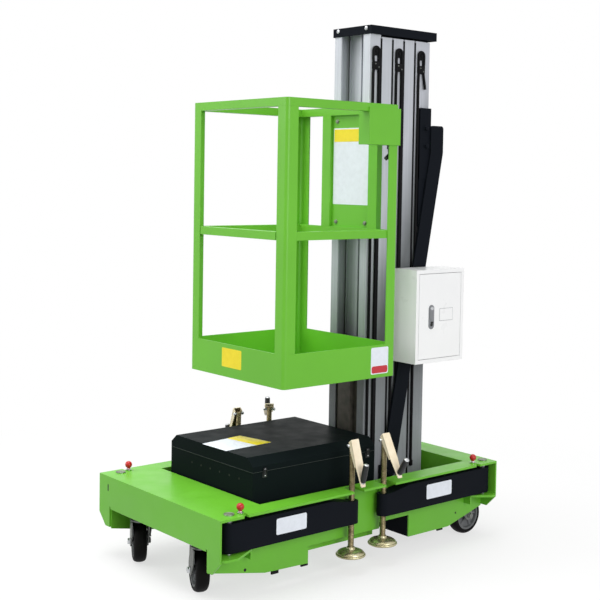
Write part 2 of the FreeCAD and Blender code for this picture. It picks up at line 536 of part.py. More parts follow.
# Outrigger arms, jacks and cranks
# Each row: name, sign from the pin toward the jack, pin place along Y, crank tilt, grip lean.
armRows = (("front", "1", "-front_pin_y", "front_crank_angle", "front_grip_angle"),
           ("rear", "-1", "rear_pin_y", "rear_crank_angle", "rear_grip_angle"))
for label, sign, pinY, tilt, lean in armRows:
    jackY = "%s + %s*arm_reach" % (pinY, sign)
    outline = [(pinY + " - %s*arm_half" % sign, "arm_low"), (jackY + " + %s*arm_half" % sign, "arm_low"),
               (jackY + " + %s*arm_half" % sign, "arm_top - arm_drop"),
               (jackY + " - %s*arm_half/2" % sign, "arm_top - arm_drop"),
               (jackY + " - %s*arm_slope" % sign, "arm_top"), (pinY + " - %s*arm_half" % sign, "arm_top")]
    beam = padded(label + "_arm_beam", "YZ_Plane", [outline], "pin_x - arm_half", "pin_x + arm_half")
    # The plan outline: a bar with round ends about the pin and the screw.
    ends = [rod(label + "_arm_eye", ("pin_x", pinY, "arm_low"), "arm_half", "arm_top - arm_low"),
            rod(label + "_arm_tip", ("pin_x", jackY, "arm_low"), "arm_half", "arm_top - arm_low")]
    yLow, yHigh = (pinY, jackY) if sign == "1" else (jackY, pinY)
    middle = block(label + "_arm_middle", ("pin_x - arm_half", yLow, "arm_low"),
                   ("pin_x + arm_half", yHigh, "arm_top"))
    plan = joined(label + "_arm_plan", ends + [middle])
    shaped = doc.addObject("Part::Common", label + "_arm_shaped")
    shaped.Base = beam
    shaped.Tool = plan
    hollow = block(label + "_arm_hollow",
                   ("pin_x - arm_half + arm_wall", yLow + " + boss_half", "arm_low - arm_wall"),
                   ("pin_x + arm_half - arm_wall", yHigh + " - boss_half", "arm_top - arm_drop - arm_wall"))
    pinBore = rod(label + "_arm_pin_bore", ("pin_x", pinY, "arm_low - arm_wall"), "pin_radius + run_gap",
                  "arm_top")
    screwBore = rod(label + "_arm_screw_bore", ("pin_x", jackY, "arm_low - arm_wall"),
                    "screw_radius + run_gap", "arm_top")
    arm = keep(without(label + "_arm", shaped, [hollow, pinBore, screwBore]), "arm_%s_near" % label)
    keep(farTwin(label + "_arm_far", arm), "arm_%s_far" % label)

    # Jacks and cranks: the near ones hang outward, the far ones are turned about their screws, and the
    # rear far crank is raised.
    raised = label == "rear"
    farTilt, farLean = ("raised_crank_angle", "0") if raised else (tilt, lean)
    for side, place, turn, hang, bow in (("near", "pin_x", "0", tilt, lean),
                                         ("far", "-pin_x", label + "_far_turn_angle", farTilt, farLean)):
        tag = "%s_%s" % (label, side)
        jack = jackAt(tag + "_jack", label + "_foot_low")
        crank = crankAt(tag + "_crank", hang, bow)
        for thing, high, node in ((jack, "0", "jack_" + tag), (crank, "crank_pin_high", "crank_" + tag)):
            turnedPart = doc.addObject("Part::Compound", node + "_turned")
            turnedPart.Links = [thing]
            turnedPart.Placement.Rotation = FreeCAD.Rotation(turnZ, 1)
            bind(turnedPart, "Placement.Rotation.Angle", turn)
            putAt(turnedPart, place, jackY, high)
            keep(turnedPart, node)

# Power box: a sheet tray, a lift-off cover with bevelled long edges, and the battery and pump block.
boxLow = "tunnel_top + sheet_thick"
trayOuter = block("tray_outer", ("-box_half", "-box_front", boxLow), ("box_half", "box_rear", "lid_split"))
trayInner = block("tray_inner", ("-box_half + box_wall", "-box_front + box_wall", boxLow + " + box_wall"),
                  ("box_half - box_wall", "box_rear - box_wall", "lid_split + box_wall"))
keep(without("tray", trayOuter, [trayInner]), "power_box")
lidOutline = [("box_half", "lid_split"), ("box_half", "lid_side"), ("lid_flat", "lid_top"),
              ("-lid_flat", "lid_top"), ("-box_half", "lid_side"), ("-box_half", "lid_split")]
lidInside = [("box_half - box_wall", "lid_split - box_wall"),
             ("box_half - box_wall", "lid_side - box_wall/2"),
             ("lid_flat - box_wall/2", "lid_top - box_wall"),
             ("-lid_flat + box_wall/2", "lid_top - box_wall"),
             ("-box_half + box_wall", "lid_side - box_wall/2"),
             ("-box_half + box_wall", "lid_split - box_wall")]
lidOuter = padded("lid_outer", "XZ_Plane", [lidOutline], "-box_front", "box_rear")
lidInner = padded("lid_inner", "XZ_Plane", [lidInside], "-box_front + box_wall", "box_rear - box_wall")
keep(without("lid", lidOuter, [lidInner]), "power_box_cover")
keep(block("battery_block", ("-box_half + pack_margin", "-box_front + pack_margin", boxLow + " + box_wall"),
           ("box_half - pack_margin", "box_rear - pack_margin", boxLow + " + box_wall + pack_tall")),
     "battery_and_pump")


# Wheels: each row name, centre x, centre y, swing of the wheel's rolling direction from +X.
def wheelPair(label, x, y, swing):
    half = "wheel_thick/2"
    tyre = turned(label + "_tyre_body", "YZ_Plane",
                  [("-wheel_thick/2", "hub_radius"), ("-wheel_thick/2", "wheel_radius - tyre_round"),
                   ("-wheel_thick/2 + tyre_round", "wheel_radius"), (half + " - tyre_round", "wheel_radius"),
                   (half, "wheel_radius - tyre_round"), (half, "hub_radius")], "H_Axis")
    hub = turned(label + "_hub_body", "YZ_Plane",
                 [("-hub_thick/2", "bore_radius"), ("-hub_thick/2 - fork_gap/2", "boss_radius"),
                  ("-hub_web/2", "boss_radius"), ("-hub_web/2", "hub_radius - hub_rim"),
                  ("-hub_thick/2", "hub_radius - hub_rim"), ("-hub_thick/2", "hub_radius"),
                  ("hub_thick/2", "hub_radius"), ("hub_thick/2", "hub_radius - hub_rim"),
                  ("hub_web/2", "hub_radius - hub_rim"), ("hub_web/2", "boss_radius"),
                  ("hub_thick/2 + fork_gap/2", "boss_radius"), ("hub_thick/2", "bore_radius")], "H_Axis")
    for thing in (tyre, hub):
        thing.Placement.Rotation = FreeCAD.Rotation(turnZ, 1)
        bind(thing, "Placement.Rotation.Angle", swing)
        putAt(thing, x, y, "wheel_radius")
    keep(tyre, label + "_tyre")
    keep(hub, label + "_hub")


# Two legs either side of a wheel with its axle bolt, about a vertical axis at the local origin.
def forkLegs(label):
    legOutline = [("-crown_radius", "crown_low"), ("-crown_radius/2", "wheel_radius + boss_radius"),
                  ("caster_trail - boss_radius", "wheel_radius - boss_radius"),
                  ("caster_trail + boss_radius", "wheel_radius - boss_radius"),
                  ("caster_trail + boss_radius", "wheel_radius + boss_radius"),
                  ("crown_radius", "crown_low")]
    inner = "wheel_thick/2 + fork_gap"
    outer = "wheel_thick/2 + fork_gap + fork_plate"
    left = padded(label + "_left_leg", "XZ_Plane", [legOutline], inner, outer)
    right = padded(label + "_right_leg", "XZ_Plane", [legOutline], "-wheel_thick/2 - fork_gap - fork_plate",
                   "-wheel_thick/2 - fork_gap")
    end = "-wheel_thick/2 - fork_gap - fork_plate - axle_head_thick"
    bolt = rod(label + "_bolt", ("caster_trail", end, "wheel_radius"), "axle_radius",
               "wheel_thick + 2*fork_gap + 2*fork_plate + 2*axle_head_thick", (0, 1, 0))
    heads = [rod(label + "_head_a", ("caster_trail", end, "wheel_radius"), "axle_head", "axle_head_thick",
                 (0, 1, 0)),
             rod(label + "_head_b", ("caster_trail", outer, "wheel_radius"), "axle_head", "axle_head_thick",
                 (0, 1, 0))]
    return [left, right, bolt] + heads


for label, side, swing in (("near", "1", "near_swing_angle"), ("far", "-1", "far_swing_angle")):
    tag = "caster_" + label
    crown = rod(tag + "_crown", ("0", "0", "crown_low"), "crown_radius", "crown_thick")
    brake = block(tag + "_brake", ("caster_trail - boss_radius/2", "-wheel_thick/2 - fork_gap - 4*fork_plate",
                                   "wheel_radius + boss_radius"),
                  ("caster_trail + wheel_radius - boss_radius", "-wheel_thick/2 - fork_gap - fork_plate",
                   "wheel_radius + boss_radius + fork_plate"))
    fork = joined(tag + "_fork", forkLegs(tag) + [crown, brake])
    fork.Placement.Rotation = FreeCAD.Rotation(turnZ, 1)
    bind(fork, "Placement.Rotation.Angle", swing)
    putAt(fork, side + "*caster_x", "-caster_y", "0")
    keep(fork, "caster_fork_" + label)
    wheelPair("front_%s" % label, "%s*caster_x + caster_trail*cos(%s)" % (side, swing),
              "-caster_y + caster_trail*sin(%s)" % swing, swing)
    wheelPair("rear_%s" % label, side + "*rear_wheel_x", "rear_wheel_y", "rear_swing_angle")

# Wheel mounts: swivel races and top plates in front, fixed forks at the rear.
mounts = []
for label, side in (("near", "1"), ("far", "-1")):
    race = rod("race_" + label, (side + "*caster_x", "-caster_y", "race_low"), "race_radius",
               "race_top - race_low")
    plateLow = (side + "*caster_x - top_plate_half", "-caster_y - top_plate_half", "race_top")
    plateHigh = (side + "*caster_x + top_plate_half", "-caster_y + top_plate_half",
                 "race_top + top_plate_thick")
    mounts += [race, block("top_plate_" + label, plateLow, plateHigh)]
keep(joined("front_mounts", mounts), "caster_plates")

rearForks = []
for label, side in (("near", "1"), ("far", "-1")):
    tag = "rear_fork_" + label
    seat = block(tag + "_seat", ("caster_trail - top_plate_half", "-wheel_thick/2 - fork_gap - fork_plate",
                                 "crown_low"),
                 ("caster_trail + top_plate_half", "wheel_thick/2 + fork_gap + fork_plate",
                  "race_top + top_plate_thick"))
    fork = joined(tag, forkLegs(tag) + [seat])
    fork.Placement.Rotation = FreeCAD.Rotation(turnZ, 90)
    putAt(fork, side + "*rear_wheel_x", "rear_wheel_y - caster_trail", "0")
    rearForks.append(fork)
rearPair = doc.addObject("Part::Compound", "rear_forks")
rearPair.Links = rearForks
keep(rearPair, "rear_wheel_brackets")


# Mast: five like profiles nose to tail along Y; section 1 is fixed and section 5 carries the cage.
# One extrusion: two side chambers, a slotted front cavity, and a tongue that runs in the next slot.
def mastSection(number):
    face = "first_face + %d*pitch" % (5 - number)
    back = face + " + section_deep"
    wall = "section_wall"
    outline = [("-slot_half", face), ("-mast_half", face), ("-mast_half", back)]
    if number == 1:
        outline += [("-mast_half + back_step", back), ("-mast_half + back_step", back + " + back_deep")]
    else:
        tongueFront = face + " + pitch + lip_thick + slide_gap"
        outline += [("-stem_half", back), ("-stem_half", tongueFront),
                    ("-cavity_half + slide_gap", tongueFront),
                    ("-cavity_half + slide_gap", tongueFront + " + tongue_thick")]
    mirrored = [(x[1:].replace(" + ", " - "), y) for x, y in reversed(outline)]
    cavity = [("slot_half", face + " + lip_thick"), ("cavity_half", face + " + lip_thick"),
              ("cavity_half", back + " - section_wall"), ("rib_half", back + " - section_wall"),
              ("rib_half", back + " - section_wall - rib_deep")]
    cavityLeft = [("-" + x, y) for x, y in reversed(cavity)]
    loops = [outline + mirrored + cavity + cavityLeft]
    for side in ("-", ""):
        innerX = side + "cavity_half" + (" + section_wall" if side == "" else " - section_wall")
        outerX = side + "mast_half" + (" - section_wall" if side == "" else " + section_wall")
        chamberLow = face + " + section_wall"
        chamberHigh = back + " - section_wall"
        loops.append([(innerX, chamberLow), (outerX, chamberLow),
                      (outerX, chamberHigh), (innerX, chamberHigh)])
    if number == 1:
        backIn = "mast_half - back_step - section_wall"
        farIn = "-mast_half + back_step + section_wall"
        loops.append([(farIn, back), (backIn, back), (backIn, back + " + back_deep - section_wall"),
                      (farIn, back + " + back_deep - section_wall")])
    low = "cradle_top + foot_plate_thick" if number == 1 else "section_low"
    top = "lead_top" if number == 5 else "section_top"
    return padded("section_%d" % number, "XY_Plane", loops, low, top)


for number in range(1, 6):
    keep(mastSection(number), "mast_section_%d" % number)

# Mast foot: base plate and the upright lugs that take the stays.
footPlate = block("foot_plate", ("-foot_plate_half", "stay_foot_y - stay_wide", "cradle_top"),
                  ("foot_plate_half", "mast_back", "cradle_top + foot_plate_thick"))
lugs = [block("foot_lug_near", ("foot_plate_half - sheet_thick", "stay_foot_y - stay_wide/2",
                                "cradle_top + foot_plate_thick/2"),
              ("foot_plate_half", "stay_foot_y + stay_wide/2", "stay_foot_z + stay_wide/2")),
        block("foot_lug_far", ("-foot_plate_half", "stay_foot_y - stay_wide/2",
                               "cradle_top + foot_plate_thick/2"),
              ("-foot_plate_half + sheet_thick", "stay_foot_y + stay_wide/2", "stay_foot_z + stay_wide/2"))]
keep(joined("foot", [footPlate] + lugs), "mast_foot")

# Stays: a flat bar each side, upright at its head and leaning below, on the fixed section's head plate.
stayTop = "stay_top_z + stay_head"
stayOutline = [("stay_foot_y - stay_wide/2", "stay_foot_z - stay_gap"),
               ("stay_foot_y + stay_wide/2", "stay_foot_z - stay_gap"),
               ("stay_top_y + stay_wide/2", "stay_top_z"), ("stay_top_y + stay_wide/2", stayTop),
               ("stay_top_y - stay_wide/2", stayTop), ("stay_top_y - stay_wide/2", "stay_top_z")]
bar = roundedOff(padded("stay_bar", "YZ_Plane", [stayOutline], "foot_plate_half",
                        "foot_plate_half + stay_thick"), stayOutline[3:5], "stay_round")
headPlate = padded("stay_head_plate", "YZ_Plane",
                   [[("plate_front", "plate_low"), ("mast_back", "plate_low"), ("mast_back", "plate_top"),
                     ("plate_front", "plate_top")]], "mast_half", "foot_plate_half")
nearStay = joined("near_stay", [bar, headPlate])
farStay = farTwin("far_stay", nearStay)
stayPair = doc.addObject("Part::Compound", "stay_pair")
stayPair.Links = [nearStay, farStay]
keep(stayPair, "mast_stays")

# Cap: a sheet hood bolted over section 5's head.
capOuter = block("cap_outer", ("-cap_half", "cap_front", "cap_low"), ("cap_half", "cap_rear", "cap_top"))
capInner = block("cap_inner", ("-cap_half + cap_sheet", "cap_front + cap_sheet", "cap_low - cap_sheet"),
                 ("cap_half - cap_sheet", "cap_rear - cap_sheet", "cap_top - cap_sheet"))
keep(without("cap", capOuter, [capInner]), "mast_cap")

# Rope sheaves and clamps on both sides of sections 1, 3 and 5.
for number in (1, 3, 5):
    middle = "first_face + %d*pitch + section_deep/2" % (5 - number)
    sides = []
    for label, sign in (("near", 1), ("far", -1)):
        wheelBase = "mast_half" if sign == 1 else "-mast_half - sheave_thick"
        sheave = rod("sheave_%s_%d" % (label, number), (wheelBase, middle, "sheave_high"), "sheave_radius",
                     "sheave_thick", (1, 0, 0))
        xLow, xHigh = ("mast_half", "mast_half + clamp_thick")
        if sign == -1:
            xLow, xHigh = ("-mast_half - clamp_thick", "-mast_half")
        clamp = block("clamp_%s_%d" % (label, number), (xLow, middle + " - clamp_wide/2", "clamp_low"),
                      (xHigh, middle + " + clamp_wide/2", "clamp_low + clamp_tall"))
        sides += [sheave, clamp]
    group = doc.addObject("Part::Compound", "rope_set_%d" % number)
    group.Links = sides
    keep(group, "rope_sheaves_%d" % number)

# Carriage: the tongue that runs in section 5's slot, and its pad against the cage.
carriageBack = "first_face + lip_thick + slide_gap"
carriageOutline = [("-stem_half", "cage_rear"), ("stem_half", "cage_rear"), ("stem_half", carriageBack),
                   ("cavity_half - slide_gap", carriageBack),
                   ("cavity_half - slide_gap", carriageBack + " + tongue_thick"),
                   ("-cavity_half + slide_gap", carriageBack + " + tongue_thick"),
                   ("-cavity_half + slide_gap", carriageBack), ("-stem_half", carriageBack)]
keep(padded("carriage_bar", "XY_Plane", [carriageOutline], "carriage_low", "carriage_top"), "carriage")

# Cage floor: a tray with its toe boards and rounded corners.
trayCorners = [("-cage_half", "-cage_front"), ("cage_half", "-cage_front"), ("cage_half", "cage_rear"),
               ("-cage_half", "cage_rear")]
toe = roundedOff(padded("toe_outer", "XY_Plane", [trayCorners], "cage_low", "toe_top"), trayCorners,
                 "post_round")
insideCorners = [("-cage_half + cage_sheet", "-cage_front + cage_sheet"),
                 ("cage_half - cage_sheet", "-cage_front + cage_sheet"),
                 ("cage_half - cage_sheet", "cage_rear - cage_sheet"),
                 ("-cage_half + cage_sheet", "cage_rear - cage_sheet")]
toeInside = roundedOff(padded("toe_inner", "XY_Plane", [insideCorners], "cage_low + cage_sheet",
                              "toe_top + cage_sheet"), insideCorners, "post_round - cage_sheet")
keep(without("toe_tray", toe, [toeInside]), "cage_floor")

# Cage frame: angle posts with the bar's pegs, the top ring, and the mid rails with the sign's frame.
ringLow = "cage_top - top_ring"
postParts = []
postRows = (("near_front", 1, -1), ("far_front", -1, -1), ("near_rear", 1, 1), ("far_rear", -1, 1))
for label, sideX, sideY in postRows:
    x = "cage_half" if sideX == 1 else "-cage_half"
    y = "cage_rear" if sideY == 1 else "-cage_front"
    inX = " - " if sideX == 1 else " + "
    inY = " - " if sideY == 1 else " + "
    angle = [(x, y), (x + inX + "post_leg", y), (x + inX + "post_leg", y + inY + "cage_sheet"),
             (x + inX + "cage_sheet", y + inY + "cage_sheet"), (x + inX + "cage_sheet", y + inY + "post_leg"),
             (x, y + inY + "post_leg")]
    post = padded("post_" + label, "XY_Plane", [angle], "toe_top", ringLow)
    roundedOff(post, [(x + inX + "cage_sheet", y + inY + "cage_sheet")], "post_round - cage_sheet")
    postParts.append(roundedOff(post, [(x, y)], "post_round"))
ring = roundedOff(padded("ring_outer", "XY_Plane", [trayCorners], ringLow, "cage_top"), trayCorners,
                  "post_round")
ringHole = block("ring_inner", ("-cage_half + rail_tube", "-cage_front + rail_tube", "toe_top"),
                 ("cage_half - rail_tube", "cage_rear - rail_tube", "cage_top + top_ring"))
keep(without("top_ring_frame", ring, [ringHole]), "cage_top_rail")
frameParts = []
midLow = "mid_top - rail_tube"
midFront = "-cage_front + cage_sheet + bar_back + bar_gap"
railIn = "cage_half - rail_tube"
railOut = "cage_half - cage_sheet"
midRear = "cage_rear - cage_sheet"
midOutline = [(railOut, midFront), (railOut, midRear), ("-cage_half + cage_sheet", midRear),
              ("-cage_half + cage_sheet", midFront), ("-cage_half + rail_tube", midFront),
              ("-cage_half + rail_tube", "cage_rear - rail_tube"), (railIn, "cage_rear - rail_tube"),
              (railIn, midFront)]
frameParts.append(roundedOff(padded("mid_rail", "XY_Plane", [midOutline], midLow, "mid_top"),
                             midOutline[1:3], "post_round - cage_sheet"))
for label, low, high in (("left", "panel_left", "panel_left + panel_post"),
                         ("right", "panel_right - panel_post", "panel_right")):
    frameParts.append(block("panel_post_" + label, (low, "cage_rear - rail_tube", "mid_top"),
                            (high, "cage_rear - cage_sheet", ringLow)))
keep(joined("mid_rail_frame", frameParts), "cage_mid_rails")
for label, sideX in (("near", 1), ("far", -1)):
    start = "cage_half - post_leg" if sideX == 1 else "-cage_half + cage_sheet"
    postParts.append(rod("peg_" + label, (start, "-cage_front + cage_sheet + peg_radius + bar_back/2",
                                          midLow + " - peg_gap - peg_radius"), "peg_radius",
                         "post_leg - cage_sheet", (1, 0, 0)))
keep(joined("post_set", postParts), "cage_posts")
keep(block("sign_plate", ("panel_left + panel_post", "cage_rear - panel_set_back - panel_thick", "mid_top"),
           ("panel_right - panel_post", "cage_rear - panel_set_back", ringLow)), "sign_panel")

# Entry bar: a square tube that rests on two pegs and slides up behind the front posts' legs.
barY = "-cage_front + cage_sheet + peg_gap"
barMain = block("bar_main", ("-cage_half + post_leg + bar_gap", "-cage_front", midLow),
                ("cage_half - post_leg - bar_gap", "-cage_front + bar_tube", "mid_top"))
barEnds = block("bar_ends", ("-cage_half + post_round + peg_gap", barY, midLow),
                ("cage_half - post_round - peg_gap", barY + " + bar_back", "mid_top"))
keep(joined("entry", [barMain, barEnds]), "entry_bar")

# Control console hung on the near top rail: its case lies inside the post, its hook plate outside.
consoleParts = [
    block("console_case", ("console_x", "console_front", "console_low"),
          ("cage_half - cage_sheet", "cage_rear - post_round", ringLow)),
    block("console_rim", ("cage_half - cage_sheet", "console_front", "console_low"),
          ("cage_half", "cage_rear - post_leg", ringLow)),
    block("console_hook", ("cage_half", "console_front", "console_low"),
          ("console_out", "cage_rear", "console_hook_top")),
]
keep(joined("console", consoleParts), "control_console")
keep(rod("gland_body", ("console_x + 2*gland_radius + 2*cage_sheet", "gland_y", "console_low - gland_tall"),
         "gland_radius", "gland_tall"), "console_gland")

# Electrical cabinet: a folded case whose front flange frames the door, on two brackets.
caseOuter = block("case_outer", ("cab_in", "cab_front", "cab_low"), ("cab_out", "cab_rear", "cab_top"))
caseInner = block("case_inner", ("cab_in + cab_wall", "cab_front + cab_wall", "cab_low + cab_wall"),
                  ("cab_out - cab_wall", "cab_rear - cab_wall", "cab_top - cab_wall"))
mouth = block("case_mouth", ("door_in", "cab_front + cab_frame", "cab_low + cab_frame"),
              ("cab_out + cab_wall", "cab_rear - cab_frame", "cab_top - cab_frame"))
caseParts = [without("case_shell", caseOuter, [caseInner, mouth])]
for label, high in (("low", "cab_low + cab_bracket"), ("high", "cab_top - cab_bracket")):
    caseParts.append(block("cab_bracket_" + label,
                           ("mast_half - back_step", "mast_back - bracket_deep", high + " - cab_bracket/2"),
                           ("cab_in", "mast_back", high)))

# Door: a folded tray set in the frame, on a short pin at its foot and one at its head.
doorOuter = block("door_outer", ("door_in", "door_front", "door_low"), ("cab_out", "door_rear", "door_top"))
doorInner = block("door_inner", ("door_in - cab_wall", "door_front + cab_wall", "door_low + cab_wall"),
                  ("cab_out - cab_wall", "door_rear - cab_wall", "door_top - cab_wall"))
doorParts = [without("door_shell", doorOuter, [doorInner])]
pinBores = []
# Each row: end, the door's boss from and to, the case's lug from and to, the pin's lower end.
hingeRows = (("foot", "door_low", "door_low + hinge_boss", "door_low - door_gap - hinge_boss",
              "door_low - door_gap", "door_low - door_gap - hinge_boss"),
             ("head", "door_top - hinge_boss", "door_top", "door_top + door_gap",
              "door_top + door_gap + hinge_boss", "door_top - hinge_boss + cab_wall"))
for label, bossLow, bossHigh, lugLow, lugHigh, pinLow in hingeRows:
    tag = "hinge_" + label
    doorParts.append(block(tag + "_boss", ("hinge_x - hinge_half", "hinge_y - hinge_half", bossLow),
                           ("cab_out - cab_wall", "hinge_y + hinge_half", bossHigh)))
    caseParts.append(block(tag + "_lug", ("hinge_x - hinge_half", "hinge_y - hinge_half", lugLow),
                           ("cab_out - cab_wall", "hinge_y + hinge_half", lugHigh)))
    caseParts.append(rod(tag + "_pin", ("hinge_x", "hinge_y", pinLow), "hinge_pin",
                         "2*hinge_boss + door_gap - cab_wall"))
    pinBores.append(rod(tag + "_bore", ("hinge_x", "hinge_y", bossLow + " - door_gap"),
                        "hinge_pin + run_gap", "hinge_boss + 2*door_gap"))
keep(joined("case", caseParts), "cabinet_case")
keep(without("door", joined("door_parts", doorParts), pinBores), "cabinet_door")

doc.recompute()

# Every object must be sound before anything is written.
for thing in doc.Objects:
    if "Invalid" in thing.State or "Error" in thing.State:
        raise RuntimeError("failed: %s %s" % (thing.Label, thing.State))
os.makedirs("parts", exist_ok=True)
for piece in pieces:
    shape = piece.Shape
    if shape.isNull() or not shape.isValid() or not shape.Solids:
        raise RuntimeError("bad shape: " + piece.Label)
for piece in pieces:
    piece.Shape.exportStep("parts/%s.step" % piece.Label)
    print("%s: %d solids, %.0f mm3" % (piece.Label, len(piece.Shape.Solids), piece.Shape.Volume))
print("%d nodes" % len(pieces))
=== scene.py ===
import json
import math
import bmesh
import bpy
import numpy as np
from mathutils import Matrix, Vector


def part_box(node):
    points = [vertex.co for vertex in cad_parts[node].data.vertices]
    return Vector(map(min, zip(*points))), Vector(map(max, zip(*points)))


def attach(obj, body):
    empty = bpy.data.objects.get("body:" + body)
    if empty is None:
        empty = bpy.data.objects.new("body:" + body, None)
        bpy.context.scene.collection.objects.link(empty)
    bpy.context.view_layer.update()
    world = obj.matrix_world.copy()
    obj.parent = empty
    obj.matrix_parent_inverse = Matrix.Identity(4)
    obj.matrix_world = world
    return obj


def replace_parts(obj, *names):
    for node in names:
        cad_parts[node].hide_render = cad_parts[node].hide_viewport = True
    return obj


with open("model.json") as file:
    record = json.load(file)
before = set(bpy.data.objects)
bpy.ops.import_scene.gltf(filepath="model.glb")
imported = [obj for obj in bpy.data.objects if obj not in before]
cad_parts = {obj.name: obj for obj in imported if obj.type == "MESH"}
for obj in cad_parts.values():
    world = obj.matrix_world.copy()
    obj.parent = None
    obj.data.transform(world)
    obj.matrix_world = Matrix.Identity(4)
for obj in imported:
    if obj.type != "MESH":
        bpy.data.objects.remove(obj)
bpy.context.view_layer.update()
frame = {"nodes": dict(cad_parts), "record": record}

# Dresses the mast work platform: finishes for every solid, and the screws, cranks, wheels, ropes,
# fasteners, latches and blank plates that the solids leave to this script. Metres, Z up.
nodes = frame["nodes"]
fullTurn = 2 * math.pi
eastward, northward, upward = np.eye(3)
print("frame loaded:", len(nodes), "solids")


# The axis as a unit vector, and two unit directions across it.
def acrossAxis(axis):
    along = np.array(axis, float) / np.linalg.norm(axis)
    helper = upward if abs(along[2]) < 0.9 else eastward
    first = np.cross(helper, along)
    first /= np.linalg.norm(first)
    return along, first, np.cross(along, first)


# Quads over a rows x columns grid whose columns close on themselves; the rows close too, or end in caps.
def wrapSkin(grid, ring=False):
    rows, columns = grid.shape[:2]
    row, column = np.mgrid[0:rows if ring else rows - 1, 0:columns]
    below, beside = (row + 1) % rows, (column + 1) % columns
    quads = np.stack([row * columns + column, row * columns + beside,
                      below * columns + beside, below * columns + column], axis=-1).reshape(-1, 4)
    first = np.arange(columns)
    caps = [] if ring else [first[None, ::-1], first[None] + (rows - 1) * columns]
    return grid.reshape(-1, 3), [quads] + caps


# A profile of (along, radius) turned about an axis:
# point = centre + along * axis + radius * swell(turn) * (cos turn * first + sin turn * second).
def turnedSkin(profile, centre, axis, columns=40, swell=None, ring=False):
    profile = np.array(profile, float)
    along, first, second = acrossAxis(axis)
    turn = np.arange(columns) * fullTurn / columns
    size = np.ones(columns) if swell is None else swell(turn)
    around = size[:, None] * (np.cos(turn)[:, None] * first + np.sin(turn)[:, None] * second)
    grid = np.array(centre) + profile[:, None, :1] * along + profile[:, None, 1:] * around[None]
    return wrapSkin(grid, ring)


# An outline in the plane of u and v, counterclockwise, carried along u x v through steps of
# (height, inset): each corner moves inwards by inset along its mitre, (n1 + n2) / (1 + n1.n2).
def plateSkin(outline, origin, u, v, steps):
    outline, steps = np.array(outline, float), np.array(steps, float)
    after = np.roll(outline, -1, axis=0) - outline
    after /= np.linalg.norm(after, axis=1, keepdims=True)
    before = np.roll(after, 1, axis=0)
    outBefore = np.stack([before[:, 1], -before[:, 0]], axis=1)
    outAfter = np.stack([after[:, 1], -after[:, 0]], axis=1)
    mitre = (outBefore + outAfter) / (1 + (outBefore * outAfter).sum(1, keepdims=True))
    flat = outline[None] - steps[:, 1, None, None] * mitre[None]
    u, v = np.array(u, float), np.array(v, float)
    grid = np.array(origin) + flat[..., :1] * u + flat[..., 1:] * v
    return wrapSkin(grid + steps[:, 0, None, None] * np.cross(u, v))


# A rectangle's outline about the origin, its corners quarter circles.
def roundedOutline(wide, tall, radius, count=6):
    turn = np.linspace(0, math.pi / 2, count)[None] + np.arange(4)[:, None] * math.pi / 2
    middleX = (wide / 2 - radius) * np.array([1, -1, -1, 1])[:, None]
    middleY = (tall / 2 - radius) * np.array([1, 1, -1, -1])[:, None]
    return np.stack([middleX + radius * np.cos(turn), middleY + radius * np.sin(turn)], -1).reshape(-1, 2)


# An outline whose corners become parabolas between points that lie a radius away along the sides.
def softened(outline, radius, count=5):
    corner = np.array(outline, float)
    backward, forward = np.roll(corner, 1, axis=0) - corner, np.roll(corner, -1, axis=0) - corner
    start = corner + backward * radius / np.linalg.norm(backward, axis=1, keepdims=True)
    end = corner + forward * radius / np.linalg.norm(forward, axis=1, keepdims=True)
    share = np.linspace(0, 1, count)[None, :, None]
    curve = (1 - share) ** 2 * start[:, None] + 2 * share * (1 - share) * corner[:, None]
    return (curve + share ** 2 * end[:, None]).reshape(-1, 2)


# A round profile carried along a path: point = path + radius * (cos turn * side + sin turn * lift),
# where lift is square to the path's tangent and to side.
def tubeSkin(path, radius, side, columns=12):
    path, side = np.array(path, float), np.array(side, float)
    tangent = np.gradient(path, axis=0)
    tangent /= np.linalg.norm(tangent, axis=1, keepdims=True)
    lift = np.cross(tangent, side)
    lift /= np.linalg.norm(lift, axis=1, keepdims=True)
    turn = np.arange(columns) * fullTurn / columns
    around = np.cos(turn)[None, :, None] * side + np.sin(turn)[None, :, None] * lift[:, None]
    return wrapSkin(path[:, None] + radius * around)


# Steps of (height, inset) for a plate on a wall: its outer edge slopes in by inset over the height bevel.
def onWall(deep, bevel, inset=None):
    return [(0, 0), (deep - bevel, 0), (deep, bevel if inset is None else inset)]


# The same for a free plate, bevelled towards both its faces.
def freePlate(deep, bevel):
    return [(0, bevel), (bevel, 0), (deep - bevel, 0), (deep, bevel)]


# A strip's outline: from low to high across, and from 0 up to tall.
def stripOutline(low, high, tall):
    return [(low, 0), (high, 0), (high, tall), (low, tall)]


# The profile of a plain pin or disc.
def pinProfile(radius, tall):
    return [(0, 0), (0, radius), (tall, radius), (tall, 0)]


# A rounded plate on a wall: centre on the wall, the way across it, its size, and its outer edge.
def wallPlate(centre, across, wide, tall, radius, deep=0.0004, bevel=None, inset=None):
    steps = onWall(deep, deep * 0.4 if bevel is None else bevel, deep * 0.5 if inset is None else inset)
    return plateSkin(roundedOutline(wide, tall, radius), centre, across, upward, steps)


# The same skin on the far side, x turned to -x.
def acrossX(skin):
    return skin[0] * [-1, 1, 1], skin[1]


def onBothSides(skins):
    return skins + [acrossX(skin) for skin in skins]


# Skins about the Z axis turned by an angle in degrees and set down at x, y.
def standing(skins, turn, x, y):
    angle = math.radians(turn)
    spin = np.eye(3)
    spin[:2, :2] = (math.cos(angle), math.sin(angle)), (-math.sin(angle), math.cos(angle))
    return [(points @ spin + [x, y, 0], groups) for points, groups in skins]


